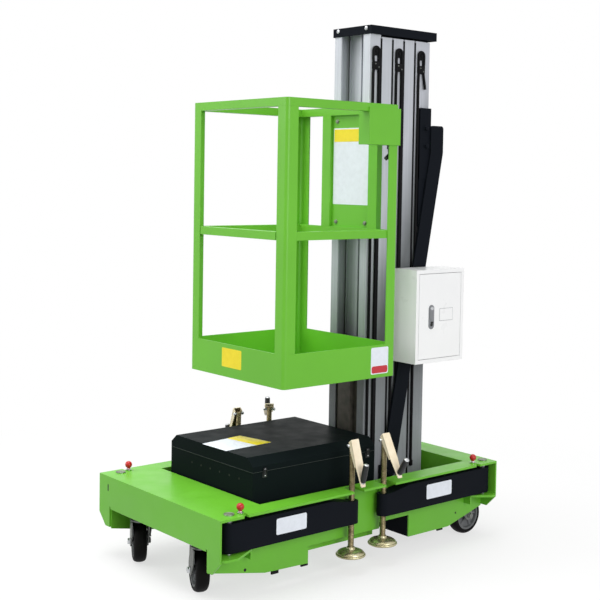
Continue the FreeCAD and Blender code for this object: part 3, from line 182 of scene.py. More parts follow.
# Skins joined in one mesh, doubled points merged, faces turned outwards, riding on a body.
def makePiece(name, skins, body, finish, sharp=38):
    points, faces, offset = [], [], 0
    for grid, groups in skins:
        points.append(grid)
        for group in groups:
            faces += (group + offset).tolist()
        offset += len(grid)
    mesh = bpy.data.meshes.new(name)
    mesh.from_pydata(np.concatenate(points).tolist(), [], faces)
    work = bmesh.new()
    work.from_mesh(mesh)
    bmesh.ops.remove_doubles(work, verts=work.verts, dist=1e-6)
    bmesh.ops.dissolve_degenerate(work, edges=work.edges, dist=1e-7)
    bmesh.ops.recalc_face_normals(work, faces=work.faces)
    work.to_mesh(mesh)
    work.free()
    mesh.shade_smooth()
    mesh.set_sharp_from_angle(angle=math.radians(sharp))
    mesh.materials.append(finish)
    piece = bpy.data.objects.new(name, mesh)
    bpy.context.scene.collection.objects.link(piece)
    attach(piece, body)
    return piece


def addNode(tree, kind, feeds, **settings):
    node = tree.nodes.new("ShaderNode" + kind)
    for key, value in settings.items():
        setattr(node, key, value)
    for key, value in feeds.items():
        if isinstance(value, bpy.types.NodeSocket):
            tree.links.new(value, node.inputs[key])
        else:
            node.inputs[key].default_value = value
    return node


# sRGB numbers from 0 to 255 as a linear colour.
def colourOf(red, green, blue):
    level = np.array([red, green, blue]) / 255
    linear = np.where(level < 0.04045, level / 12.92, ((level + 0.055) / 1.055) ** 2.4)
    return (*linear.tolist(), 1.0)


def tinted(colour, factor):
    return (*[min(channel * factor, 1) for channel in colour[:3]], 1.0)


def newFinish(name, **constants):
    material = bpy.data.materials.new(name)
    material.use_nodes = True
    tree = material.node_tree
    shader = tree.nodes["Principled BSDF"]
    for key, value in constants.items():
        shader.inputs[key.replace("_", " ")].default_value = value
    place = tree.nodes.new("ShaderNodeTexCoord").outputs["Object"]
    return material, tree, shader, place


def noiseAt(tree, place, scale, detail=3.0, stretch=(1, 1, 1)):
    spot = addNode(tree, "Mapping", {"Vector": place, "Scale": stretch}).outputs["Vector"]
    return addNode(tree, "TexNoise", {"Vector": spot, "Scale": scale, "Detail": detail}).outputs["Fac"]


def spread(tree, value, low, high, fromLow=0.3, fromHigh=0.7):
    feeds = {"Value": value, "From Min": fromLow, "From Max": fromHigh, "To Min": low, "To Max": high}
    return addNode(tree, "MapRange", feeds).outputs["Result"]


def blended(tree, factor, first, second):
    node = tree.nodes.new("ShaderNodeMix")
    node.data_type = "RGBA"
    for place, value in ((0, factor), (6, first), (7, second)):
        if isinstance(value, bpy.types.NodeSocket):
            tree.links.new(value, node.inputs[place])
        else:
            node.inputs[place].default_value = value
    return node.outputs[2]


def mathOf(tree, first, second, operation="MULTIPLY"):
    return addNode(tree, "Math", {0: first, 1: second}, operation=operation).outputs[0]


# Softens edges by a small radius, and tells where they are: 0 on flats, towards 1 on an edge.
def edgeOf(tree, radius):
    soft = addNode(tree, "Bevel", {"Radius": radius}, samples=4).outputs["Normal"]
    hard = tree.nodes.new("ShaderNodeNewGeometry").outputs["Normal"]
    likeness = addNode(tree, "VectorMath", {0: soft, 1: hard}, operation="DOT_PRODUCT").outputs["Value"]
    return soft, spread(tree, likeness, 1.0, 0.0, 0.86, 0.99)


def bumped(tree, shader, height, distance, strength, normal=None):
    feeds = {"Height": height, "Distance": distance, "Strength": strength}
    if normal is not None:
        feeds["Normal"] = normal
    tree.links.new(addNode(tree, "Bump", feeds).outputs["Normal"], shader.inputs["Normal"])


def painted(tree, shader, tone, roughness):
    tree.links.new(tone, shader.inputs["Base Color"])
    tree.links.new(roughness, shader.inputs["Roughness"])


# Sizes for real dust on paint and rubber, and for the painted shade low on the mast.
dustAndShadeSizes = {
    "dust": colourOf(150, 142, 126), "dustTop": 0.35, "rubberDust": colourOf(118, 112, 104),
    "paintedShade": colourOf(52, 58, 54), "paintedShadeMost": 0.88, "paintedShadeFrom": 0.84, "paintedShadeTo": 1.3,
    "slant": 2.3, "slantFrom": 0.3, "shadeEasedTo": 0.5, "shadeEasedLow": 0.3, "shadeEasedHigh": 0.75,
}


# Powder coat: slow patches of tone, a fine orange peel, rubbed edges also painted lighter as a highlight, and
# a little dust lower down.
def powderCoat(name, colour, rough, peel=0.35, edge=1.35, dust=0.06, coat=0.2, level=0.5):
    material, tree, shader, place = newFinish(name, Coat_Weight=coat, Coat_Roughness=0.14, IOR=1.5,
                                              Specular_IOR_Level=level)
    patches = noiseAt(tree, place, 2.6, 4.0)
    tone = blended(tree, spread(tree, patches, 0.0, 1.0), tinted(colour, 0.93), tinted(colour, 1.05))
    soft, edgeMask = edgeOf(tree, 0.0016)
    # Edges lighter: partly wear, partly a painted highlight.
    rubAndHighlight = mathOf(tree, edgeMask, spread(tree, noiseAt(tree, place, 38.0), 0.15, 0.6))
    tone = blended(tree, rubAndHighlight, tone, tinted(colour, edge))
    height = addNode(tree, "SeparateXYZ", {"Vector": place}).outputs["Z"]
    cover = spread(tree, noiseAt(tree, place, 9.0), 0.2, 1.0)
    low = mathOf(tree, spread(tree, height, dust, 0.0, 0.0, dustAndShadeSizes["dustTop"]), cover)
    tone = blended(tree, low, tone, dustAndShadeSizes["dust"])
    painted(tree, shader, tone, spread(tree, noiseAt(tree, place, 14.0), rough - 0.05, rough + 0.07))
    bumped(tree, shader, noiseAt(tree, place, 620.0, 1.0), 0.00012, peel, soft)
    return material


# Drawn aluminium: streaks that run the length of the profile, slow cloudy patches of the anodising, and
# painted shade, darkest low at the rear, where reach = z - slant (y - slantFrom) is small, and eased
# thinner near the foot.
def drawnAluminium(name, colour, streak=(320, 320, 1.6)):
    g = dustAndShadeSizes
    material, tree, shader, place = newFinish(name, Metallic=0.12, IOR=1.5, Specular_IOR_Level=0.3)
    lines = noiseAt(tree, place, 1.0, 4.0, streak)
    clouds = noiseAt(tree, place, 5.0, 4.0)
    tone = blended(tree, spread(tree, lines, 0.0, 1.0), tinted(colour, 0.86), tinted(colour, 1.12))
    tone = blended(tree, spread(tree, clouds, 0.0, 0.22), tone, tinted(colour, 0.7))
    spot = addNode(tree, "SeparateXYZ", {"Vector": place}).outputs
    # Painted shade: the tone is pulled towards a dark grey-green low down and towards the rear, less near the
    # foot.
    slope = mathOf(tree, mathOf(tree, spot["Y"], g["slantFrom"], "SUBTRACT"), g["slant"])
    reach = mathOf(tree, spot["Z"], slope, "SUBTRACT")
    foot = spread(tree, spot["Z"], g["shadeEasedTo"], 1.0, g["shadeEasedLow"], g["shadeEasedHigh"])
    shadeEased = mathOf(tree, foot, spread(tree, clouds, 0.85, 1.0))
    paintedShadeAmount = spread(tree, reach, g["paintedShadeMost"], 0.0, g["paintedShadeFrom"], g["paintedShadeTo"])
    tone = blended(tree, mathOf(tree, paintedShadeAmount, shadeEased), tone, g["paintedShade"])
    soft, edgeMask = edgeOf(tree, 0.001)
    tone = blended(tree, mathOf(tree, edgeMask, 0.35), tone, tinted(colour, 1.35))
    painted(tree, shader, tone, spread(tree, lines, 0.34, 0.52))
    bumped(tree, shader, lines, 0.0002, 0.12, soft)
    return material


# Zinc plating: a metal whose tint drifts between two passivation colours, with fine scuffs.
def platedSteel(name, first, second, rough, metallic=1.0):
    material, tree, shader, place = newFinish(name, Metallic=metallic, IOR=1.5)
    drift = noiseAt(tree, place, 32.0, 4.0)
    tone = blended(tree, spread(tree, drift, 0.0, 1.0), first, second)
    scuffs = noiseAt(tree, place, 1.0, 3.0, (160, 90, 420))
    tone = blended(tree, spread(tree, scuffs, 0.0, 0.25, 0.5, 0.8), tone, tinted(second, 1.3))
    soft, edgeMask = edgeOf(tree, 0.0008)
    tone = blended(tree, mathOf(tree, edgeMask, 0.3), tone, tinted(second, 1.4))
    painted(tree, shader, tone, spread(tree, scuffs, rough - 0.06, rough + 0.12))
    bumped(tree, shader, scuffs, 0.0001, 0.2, soft)
    return material


# Rubber: near black, dull, with a fine grain and pale dust in broad patches.
def dullRubber(name, colour, grain, dust):
    material, tree, shader, place = newFinish(name, IOR=1.5, Specular_IOR_Level=0.08)
    patches = noiseAt(tree, place, 16.0, 4.0)
    tone = blended(tree, spread(tree, patches, 0.0, dust, 0.4, 0.75), colour, dustAndShadeSizes["rubberDust"])
    painted(tree, shader, tone, spread(tree, patches, 0.5, 0.72))
    bumped(tree, shader, noiseAt(tree, place, grain, 2.0), 0.0003, 0.3)
    return material


# Moulded plastic: even colour, a fine spark-eroded grain and a slightly uneven shine.
def mouldedPlastic(name, colour, rough, coat=0.0):
    material, tree, shader, place = newFinish(name, Coat_Weight=coat, Coat_Roughness=0.08, IOR=1.46)
    patches = noiseAt(tree, place, 24.0, 3.0)
    tone = blended(tree, spread(tree, patches, 0.0, 1.0), tinted(colour, 0.9), tinted(colour, 1.08))
    painted(tree, shader, tone, spread(tree, patches, rough - 0.04, rough + 0.06))
    bumped(tree, shader, noiseAt(tree, place, 1400.0, 1.0), 0.00008, 0.25)
    return material


# Printed vinyl, blank: a plain tone with faint handling marks.
def blankVinyl(name, colour, rough=0.36):
    material, tree, shader, place = newFinish(name, Coat_Weight=0.15, Coat_Roughness=0.2, IOR=1.46)
    marks = noiseAt(tree, place, 60.0, 5.0)
    tone = blended(tree, spread(tree, marks, 0.0, 0.5), colour, tinted(colour, 0.86))
    painted(tree, shader, tone, spread(tree, marks, rough, rough + 0.14))
    bumped(tree, shader, marks, 0.00005, 0.15)
    return material


greenCoat = powderCoat("green_coat", colourOf(106, 186, 46), 0.38, edge=1.2, coat=0.08, level=0.35)
blackCoat = powderCoat("black_coat", colourOf(22, 25, 31), 0.38, edge=1.8, dust=0.01, coat=0.0, level=0.02)
boxCoat = powderCoat("box_coat", colourOf(20, 27, 28), 0.36, edge=2.0, dust=0.01, coat=0.0, level=0.012)
whiteCoat = powderCoat("white_coat", colourOf(253, 254, 255), 0.32, edge=1.0, dust=0.0)
mastMetal = drawnAluminium("mast_aluminium", colourOf(194, 197, 205))
# A darker aluminium for the channel's grooves: painted shade.
grooveShadeMetal = drawnAluminium("groove_shade_aluminium", colourOf(92, 95, 96))
bronzeZinc = platedSteel("bronze_zinc", colourOf(104, 92, 68), colourOf(158, 146, 112), 0.3)
# The feet's bronze zinc painted lighter than the screws': a painted highlight for their reflections.
footZincPaintedLight = platedSteel("foot_zinc_painted_light", colourOf(150, 140, 102), colourOf(206, 200, 166), 0.24, 0.75)
creamZinc = platedSteel("cream_zinc", colourOf(238, 220, 188), colourOf(248, 236, 210), 0.42, 0.15)
brightZinc = platedSteel("bright_zinc", colourOf(178, 180, 184), colourOf(206, 208, 210), 0.26)
forkZinc = platedSteel("fork_zinc", colourOf(92, 94, 92), colourOf(128, 130, 126), 0.42, 0.7)
tyreRubber = dullRubber("tyre_rubber", colourOf(9, 9, 10), 900.0, 0.03)
plainRubber = dullRubber("plain_rubber", colourOf(20, 20, 22), 500.0, 0.06)
ropeRubber = dullRubber("rope_cover", colourOf(13, 13, 16), 1200.0, 0.02)
hubPlastic = mouldedPlastic("hub_plastic", colourOf(100, 102, 104), 0.5)
blackPlastic = mouldedPlastic("black_plastic", colourOf(20, 21, 24), 0.42)
redPlastic = mouldedPlastic("red_plastic", colourOf(186, 24, 20), 0.3, 0.12)
lockPlastic = mouldedPlastic("lock_grey", colourOf(128, 130, 134), 0.34)
carriageZinc = platedSteel("carriage_zinc", colourOf(62, 60, 54), colourOf(84, 80, 72), 0.5, 0.4)
pinZinc = platedSteel("pin_zinc", colourOf(112, 120, 104), colourOf(142, 150, 132), 0.45, 0.6)
whiteVinyl = blankVinyl("white_vinyl", colourOf(237, 242, 251))
seamGrey = mouldedPlastic("seam_grey", colourOf(50, 56, 52), 0.6)
yellowVinyl = blankVinyl("yellow_vinyl", colourOf(250, 226, 18))
redVinyl = blankVinyl("red_vinyl", colourOf(196, 40, 52))
greyVinyl = blankVinyl("grey_vinyl", colourOf(150, 154, 158))
# Near black for holes and slots: painted shade of their insides.
holeShade = mouldedPlastic("hole_shade", colourOf(12, 14, 12), 0.7)

finishOfSlot = {
    "green_paint": greenCoat, "black_paint": blackCoat, "white_paint": whiteCoat,
    "mast_aluminium": mastMetal, "bronze_zinc": bronzeZinc, "cream_zinc": creamZinc,
    "bright_zinc": brightZinc, "red_knob": redPlastic, "tyre_black": tyreRubber,
    "hub_grey": hubPlastic, "rubber_black": plainRubber, "black_plastic": blackPlastic,
}
# Solids whose finish isn't the plain one of their slot.
finishOfNode = {
    "caster_fork_near": forkZinc, "caster_fork_far": forkZinc, "rear_wheel_brackets": forkZinc,
    "caster_plates": forkZinc, "power_box": boxCoat, "power_box_cover": boxCoat, "carriage": carriageZinc,
}
for subpart in frame["record"]["subparts"]:
    name = subpart["node"]
    mesh = nodes[name].data
    mesh.materials.clear()
    mesh.materials.append(finishOfNode.get(name, finishOfSlot[subpart["material_slot"]]))
print("finishes given")


# How far a hexagon's edge lies from its middle, as a share of half its width across the flats.
def hexSwell(turn):
    return 1 / np.cos((turn + math.pi / 6) % (math.pi / 3) - math.pi / 6)


# A hexagon head with a chamfered crown on a washer; wide is across the flats.
def hexHead(centre, axis, wide, tall, washer=1.2):
    half = wide / 2
    disc = [(0, 0), (0, half * washer), (wide * 0.1, half * washer), (wide * 0.12, half * washer * 0.95),
            (wide * 0.12, 0)]
    lift = wide * 0.1
    head = [(lift, 0), (lift, half * 0.98), (lift + tall * 0.8, half), (lift + tall * 0.92, half * 0.95),
            (lift + tall, half * 0.84), (lift + tall, 0)]
    return [turnedSkin(disc, centre, axis, 32), turnedSkin(head, centre, axis, 36, hexSwell)]


# A button head with a socket: a dome that dips at its middle.
def buttonHead(centre, axis, wide, tall):
    share = np.linspace(0, 1, 9)
    dome = np.stack([tall * np.cos(share * math.pi / 2) ** 0.7, wide / 2 * np.sin(share * math.pi / 2)], 1)
    dome = dome[dome[:, 1] > wide * 0.16]
    socket = [(tall * 0.35, 0), (tall * 0.35, wide * 0.15), (tall * 0.97, wide * 0.16)]
    return [turnedSkin(np.concatenate([socket, dome, [(0, 0)]]), centre, axis, 28)]


wheelSizes = {
    "halfWide": 0.024, "crown": 0.0749, "seat": 0.058, "squareness": 0.78,
    "grooveAt": 0.013, "grooveWide": 0.0009, "grooveDeep": 0.0005,
    "bossRadius": 0.015, "bossHalf": 0.0242, "bossSoft": 0.0007, "webHalf": 0.0075,
    "ribs": 6, "ribRise": 0.0065, "ribSharp": 3, "ribNarrow": 1.7,
    "rimRadius": 0.0495, "rimHalf": 0.0216, "rimSoft": 0.0008, "seatIn": 0.0006,
    "bolt": 0.019, "boltTall": 0.0075, "boltAt": 0.0325, "washer": 1.25,
    # Runs of radii across the hub, short of its seat: from, to, how many.
    "runs": ((0.006, 0.013, 4), (0.0135, 0.0165, 8), (0.018, 0.047, 12), (0.0478, 0.0515, 8),
             (0.055, 0.0574, 2)),
}
swingOf = {"near": 157.0, "far": 153.0}


# Half a wheel's thickness at a radius and turn: boss, web with raised ribs, then the rim, joined by
# smooth steps (1 + tanh) / 2.
def hubHalf(radius, turn):
    s = wheelSizes
    step = lambda at, soft: (1 + np.tanh((radius - at) / soft)) / 2
    rib = np.clip(np.cos(turn * s["ribs"]) * s["ribSharp"] - s["ribNarrow"], 0, 1) * s["ribRise"]
    web = s["webHalf"] + rib
    return s["bossHalf"] + (web - s["bossHalf"]) * step(s["bossRadius"], s["bossSoft"]) \
        + (s["rimHalf"] - web) * step(s["rimRadius"], s["rimSoft"])


def makeWheel(label, swing, body):
    s = wheelSizes
    low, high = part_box(label + "_tyre")
    centre = np.array((low + high) / 2)
    turn = math.radians(swing)
    axle = np.array([-math.sin(turn), math.cos(turn), 0])
    lap = np.linspace(0, math.pi, 41)
    along = s["halfWide"] * np.sign(np.cos(lap)) * np.abs(np.cos(lap)) ** s["squareness"]
    radius = s["seat"] + (s["crown"] - s["seat"]) * np.sin(lap) ** s["squareness"]
    grooves = np.exp(-((np.abs(along) - s["grooveAt"]) / s["grooveWide"]) ** 2) * s["grooveDeep"]
    profile = np.stack([along, radius - grooves], 1)
    tyre = makePiece(label + "_tyre_dressed", [turnedSkin(profile, centre, axle, 96, ring=True)], body,
                     tyreRubber, 60)
    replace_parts(tyre, label + "_tyre")
    radii = np.concatenate([np.linspace(*run) for run in s["runs"]] + [[s["seat"]]])
    columns = 120
    spin = np.arange(columns) * fullTurn / columns
    half = hubHalf(radii[:, None], spin[None])
    half[-1] -= s["seatIn"]
    radii = np.concatenate([radii, radii[::-1]])
    half = np.concatenate([half, -half[::-1]])
    along, first, second = acrossAxis(axle)
    around = np.cos(spin)[:, None] * first + np.sin(spin)[:, None] * second
    grid = centre + half[..., None] * along + radii[:, None, None] * around[None]
    hub = makePiece(label + "_hub_dressed", [wrapSkin(grid, ring=True)], body, hubPlastic, 50)
    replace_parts(hub, label + "_hub")
    return centre, axle


# Axle bolts on both sides of each wheel; the far caster has a black knob on its inner side.
boltSkins = {"base": [], "caster_near": [], "caster_far": []}
brakeKnobs = []
for end in ("front", "rear"):
    for side in ("near", "far"):
        label = "%s_%s" % (end, side)
        swing = swingOf[side] if end == "front" else 90.0
        centre, axle = makeWheel(label, swing, "%s_wheel_%s" % (end, side))
        carrier = "caster_" + side if end == "front" else "base"
        for way in (1, -1):
            seat = centre + axle * way * wheelSizes["boltAt"]
            head = hexHead(seat, axle * way, wheelSizes["bolt"], wheelSizes["boltTall"], wheelSizes["washer"])
            if label == "front_far" and way < 0:
                brakeKnobs += head
            else:
                boltSkins[carrier] += head
for body, skins in boltSkins.items():
    makePiece("axle_bolts_" + body, skins, body, forkZinc if body == "base" else brightZinc)
makePiece("brake_knob_far", brakeKnobs, "caster_far", blackPlastic)

# Brake pedals: a cranked lever beside each caster wheel, in the fork's own frame along its trail.
pedalSizes = {
    "trail": 0.026, "inner": -0.0336, "outer": -0.0430, "corner": 0.0035, "bevel": 0.0012,
    "lever": ((0.004, 0.118), (0.030, 0.094), (0.058, 0.086), (0.082, 0.060), (0.090, 0.064),
              (0.088, 0.078), (0.064, 0.104), (0.034, 0.112), (0.012, 0.132)),
}
for side in ("near", "far"):
    s = pedalSizes
    angle = math.radians(swingOf[side])
    trail = np.array([math.cos(angle), math.sin(angle), 0])
    low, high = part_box("front_%s_tyre" % side)
    swivel = np.array((low + high) / 2) * [1, 1, 0] - trail * s["trail"]
    origin = swivel - np.cross(trail, upward) * s["inner"]
    pedal = plateSkin(softened(s["lever"], s["corner"]), origin, trail, upward,
                      freePlate(s["inner"] - s["outer"], s["bevel"]))
    makePiece("brake_pedal_" + side, [pedal], "caster_" + side, blackPlastic)
print("wheels made")


jackSizes = {
    "radius": 0.011, "threadDeep": 0.0012, "pitch": 0.005, "perTurn": 8, "screwTop": 0.463,
    "tipRound": 0.002, "sunk": 0.002, "footTall": 0.031, "footRadius": 0.054, "rimTall": 0.009,
    "domeRadius": 0.021, "domeTall": 0.0225, "neck": 0.0145, "neckEdge": 0.0008, "neckTall": 0.001,
}


# A screw's skin: radius = root + depth * crest(height / pitch - turn), the crest a clipped cosine.
def screwSkin(sole):
    s = jackSizes
    columns = 20
    height = np.arange(sole + s["footTall"] - s["sunk"], s["screwTop"] - s["tipRound"],
                       s["pitch"] / s["perTurn"])
    turn = np.arange(columns) * fullTurn / columns
    phase = height[:, None] / s["pitch"] - turn[None] / fullTurn
    crest = np.clip(0.5 + 0.8 * np.cos(fullTurn * phase), 0, 1)
    radius = s["radius"] - s["threadDeep"] * (1 - crest)
    radius = np.concatenate([radius, np.full((1, columns), s["radius"] - s["tipRound"])])
    height = np.append(height, s["screwTop"])
    return wrapSkin(np.stack([radius * np.cos(turn), radius * np.sin(turn),
                              np.broadcast_to(height[:, None], radius.shape)], -1))


# The foot: a flat sole with a rolled rim, a dish that rises as a quarter ellipse, and a hollow quarter
# ellipse up to the neck.
def footSkin(sole):
    s = jackSizes
    bead = s["rimTall"] / 2
    edge = s["footRadius"] - bead
    roll = np.linspace(-math.pi / 2, math.pi / 2, 11)
    rim = np.stack([bead * (1 + np.sin(roll)), edge + bead * np.cos(roll)], 1)
    rise = np.linspace(0, math.pi / 2, 15)[1:]
    dish = np.stack([s["rimTall"] + (s["domeTall"] - s["rimTall"]) * np.sin(rise),
                     s["domeRadius"] + (edge - s["domeRadius"]) * np.cos(rise)], 1)
    hollow = np.stack([s["domeTall"] + (s["footTall"] - s["domeTall"]) * (1 - np.cos(rise)),
                       s["domeRadius"] - (s["domeRadius"] - s["neck"]) * np.sin(rise)], 1)
    crown = s["footTall"] + s["neckTall"]
    profile = np.concatenate([[(0, 0)], rim, dish, hollow, [(crown, s["neck"] - s["neckEdge"]), (crown, 0)]])
    return turnedSkin(profile + [sole, 0], (0, 0, 0), upward, 64)


crankSizes = {
    "wide": 0.036, "plate": 0.004, "bevel": 0.0006, "corner": 0.004, "long": 0.15, "kink": 0.078,
    "tip": 0.02, "over": 0.018, "gap": 0.0035, "flange": 0.015, "flangeThick": 0.0025,
    "flangeBevel": 0.0004, "flangeCorner": 0.003, "flangeTop": 0.6, "flangeFoot": 0.55,
    # The darker sheet on the crank's inner face is painted shade.
    "innerShadeWide": 0.84, "innerShadeTop": 0.9, "innerShadeTip": 0.4, "innerShadeLong": 0.985, "innerShadeOut": 0.0002,
    "innerShade": (0.0010, 0.0002, 0.0004), "innerShadeCorner": 0.003,
    "pinDrop": 0.008, "pinRadius": 0.005, "headRadius": 0.0066,
    "pinHead": ((0, 0), (0, 1), (0.0035, 0.96), (0.006, 0.7), (0.0072, 0)),
    "gripRadius": 0.011, "gripLong": 0.074, "gripEar": 0.014, "gripFoot": 0.04, "gripShare": 0.92,
    "gripSwell": 0.07, "gripNarrow": 0.93, "gripEnd": 0.05, "endWide": 0.72, "flutes": 18,
    "fluteDeep": 0.04, "collar": 0.0075, "collarTall": 0.004, "collarSunk": 0.001,
    "cap": ((0.93, 0), (0.93, 0.0094), (0.965, 0.0090), (0.99, 0.0068), (1, 0.0035), (1, 0)),
}
# Each row: jack, the crank's tilt and the grip's lean, and how far the pair is turned about the screw.
crankRows = (("front", "near", 17.0, 14.0, 0.0), ("rear", "near", 28.0, 32.0, 0.0),
             ("front", "far", 17.0, 14.0, 180.0), ("rear", "far", 63.0, 0.0, 145.0))


# The outline of a crank's plate, which narrows from the kink to its tip.
def crankFace(half, top, tipHalf, foot, corner):
    kink = crankSizes["kink"]
    return softened([(-half, top), (half, top), (half, kink), (tipHalf, foot), (-tipHalf, foot),
                     (-half, kink)], corner)


# A crank hung from the screw's head: a folded channel that narrows to its tip, a bronze sheet on its inner
# face as painted shade, and the grip.
# The plate's own plane holds the Y axis and the way down, and it thickens inwards, towards the screw.
def crankSkins(tilt, lean):
    s = crankSizes
    tilt, lean = math.radians(tilt), math.radians(lean)
    out = np.array([math.cos(tilt), 0, math.sin(tilt)])
    down = np.array([math.sin(tilt), 0, -math.cos(tilt)])
    pivot = np.array([0, 0, jackSizes["screwTop"] - s["pinDrop"]])
    front = jackSizes["radius"] + s["gap"] + s["plate"]
    half = s["wide"] / 2
    face = crankFace(half, -s["over"], s["tip"] / 2, s["long"], s["corner"])
    plates = [plateSkin(face, pivot + out * front, northward, down, freePlate(s["plate"], s["bevel"]))]
    # Painted shade: a bronze sheet on the plate's inner face, darker than the cream outside.
    narrow = crankFace(half * s["innerShadeWide"], -s["over"] * s["innerShadeTop"], s["tip"] * s["innerShadeTip"],
                       s["long"] * s["innerShadeLong"], s["innerShadeCorner"])
    innerShade = plateSkin(narrow, pivot + out * (front - s["plate"] + s["innerShadeOut"]), northward, down,
                       onWall(*s["innerShade"]))
    flange = softened([(0, -s["over"]), (s["flange"], -s["over"] * s["flangeTop"]),
                       (s["flange"], s["over"]), (s["flange"] * s["flangeFoot"], s["kink"]),
                       (0, s["kink"])], s["flangeCorner"])
    middle = pivot + out * (front - s["plate"] / 2)
    # The flanges' plane faces -Y, so their heights run backwards, towards +Y.
    steps = np.array(freePlate(s["flangeThick"], s["flangeBevel"])) * [-1, 1]
    for edge in (half - s["flangeThick"], -half):
        plates.append(plateSkin(flange, middle + northward * edge, -out, down, steps))
    head = np.array(s["pinHead"]) * [1, s["headRadius"]]
    pins = [turnedSkin(head, pivot + northward * way * half, northward * way, 24) for way in (1, -1)]
    pins.append(turnedSkin(pinProfile(s["pinRadius"], s["wide"]), pivot - northward * half, northward, 20))
    foot = middle + down * (s["long"] - s["gripEar"])
    axis = np.array([math.sin(lean), 0, math.cos(lean)])
    pins.append(turnedSkin(pinProfile(s["collar"], s["collarTall"]), foot - axis * s["collarSunk"], axis, 24))
    pins.append(turnedSkin(np.array(s["cap"]) * [s["gripLong"], 1], foot, axis, 28))
    share = np.linspace(0, 1, 25)
    swell = 1 + s["gripSwell"] * np.sin(share * math.pi)
    ends = np.clip(np.minimum(share, 1 - share) / s["gripEnd"], 0, 1) ** 0.5
    radius = s["gripRadius"] * s["gripNarrow"] * swell * (s["endWide"] + (1 - s["endWide"]) * ends)
    barrel = np.stack([s["gripLong"] * (s["gripFoot"] + s["gripShare"] * share), radius], 1)
    barrel = np.concatenate([[(barrel[0, 0], 0)], barrel, [(barrel[-1, 0], 0)]])
    flutes = lambda turn: 1 - s["fluteDeep"] * (0.5 + 0.5 * np.cos(turn * s["flutes"]))
    return plates, [innerShade], pins, [turnedSkin(barrel, foot, axis, 72, flutes)]


for end, side, tilt, lean, turn in crankRows:
    tag = "%s_%s" % (end, side)
    low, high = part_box("jack_" + tag)
    x, y, sole = float(low.x + high.x) / 2, float(low.y + high.y) / 2, float(low.z)
    plates, innerShade, pins, grip = crankSkins(tilt, lean)
    # Each row: piece, skins, slot, finish, and the angle from which an edge is sharp.
    rows = (("jack_screw", [screwSkin(sole)], "bronze_zinc", bronzeZinc, 50),
            # The foot takes the lighter zinc, a painted highlight.
            ("jack_foot", [footSkin(sole)], "bronze_zinc", footZincPaintedLight, 50),
            ("crank_channel", plates, "cream_zinc", creamZinc, 38),
            ("crank_innerShade", innerShade, "bronze_zinc", bronzeZinc, 38),
            ("crank_pins", pins, "bright_zinc", brightZinc, 38),
            ("crank_grip", grip, "black_plastic", blackPlastic, 30))
    made = {}
    for name, skins, slot, finish, sharp in rows:
        skins = standing(skins, turn, x, y)
        made[name] = makePiece("%s_%s" % (name, tag), skins, "screw_" + tag, finish, sharp)
    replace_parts(made["jack_screw"], "jack_" + tag)
    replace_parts(made["crank_channel"], "crank_" + tag)
print("jacks made")


pinSizes = {
    "ball": 0.013, "ballOpen": 0.45, "tail": ((0.98, 0.0062), (1.2, 0.006), (1.2, 0)),
    "tip": 0.0028, "tipTall": 0.003, "stem": 0.0045, "stemTop": 0.0056, "stemHigh": 0.9, "sleeveUp": 0.002,
    "sleeve": ((0, 0.0075), (0.0008, 0.0105), (0.0028, 0.0105), (0.004, 0.0065)),
    "disc": 0.016, "discDown": 0.0006,
    "dish": ((0, 0), (0, 0.0178), (0.0008, 0.0180), (0.0016, 0.0177), (0.0018, 0.0162), (0.0009, 0.0154),
             (0.0007, 0.0140), (0.0012, 0.0132), (0.0012, 0)),
}
s = pinSizes
lockLow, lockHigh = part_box("lock_knobs")
lockX, lockY, ballHigh = (float(value) - s["ball"] for value in lockHigh)
lap = np.linspace(-math.pi / 2, math.pi / 2 - s["ballOpen"], 22)
ball = np.stack([-s["ball"] * np.sin(lap), s["ball"] * np.cos(lap)], 1)
ball = np.concatenate([ball, np.array(s["tail"]) * [-s["ball"], 1]])
foot = float(lockLow.z) - ballHigh
sleeveFoot = float(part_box("side_rail_near")[1].z) + s["sleeveUp"] - ballHigh
stem = [(foot, 0), (foot, s["tip"]), (foot + s["tipTall"], s["stem"]), (sleeveFoot, s["stem"])]
stem += [(sleeveFoot + rise, radius) for rise, radius in s["sleeve"]]
stem += [(-s["ball"] * s["stemHigh"], s["stemTop"]), (-s["ball"] * s["stemHigh"], 0)]
balls, stems, discs = [], [], []
for x in (lockX, -lockX):
    for y in (lockY, -lockY):
        balls.append(turnedSkin(ball, (x, y, ballHigh), upward, 40))
        stems.append(turnedSkin(stem, (x, y, ballHigh), upward, 32))
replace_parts(makePiece("lock_balls", balls, "base", redPlastic, 60), "lock_knobs")
makePiece("lock_stems", stems, "base", brightZinc)
pinLow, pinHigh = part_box("hinge_pins")
pinX = float(pinHigh.x) - s["disc"]
for x in (pinX, -pinX):
    for y in (float(pinHigh.y) - s["disc"], float(pinLow.y) + s["disc"]):
        discs.append(turnedSkin(s["dish"], (x, y, float(pinHigh.z) - s["discDown"]), upward, 48))
makePiece("hinge_pin_caps", discs, "base", pinZinc, 30)
print("pins made")


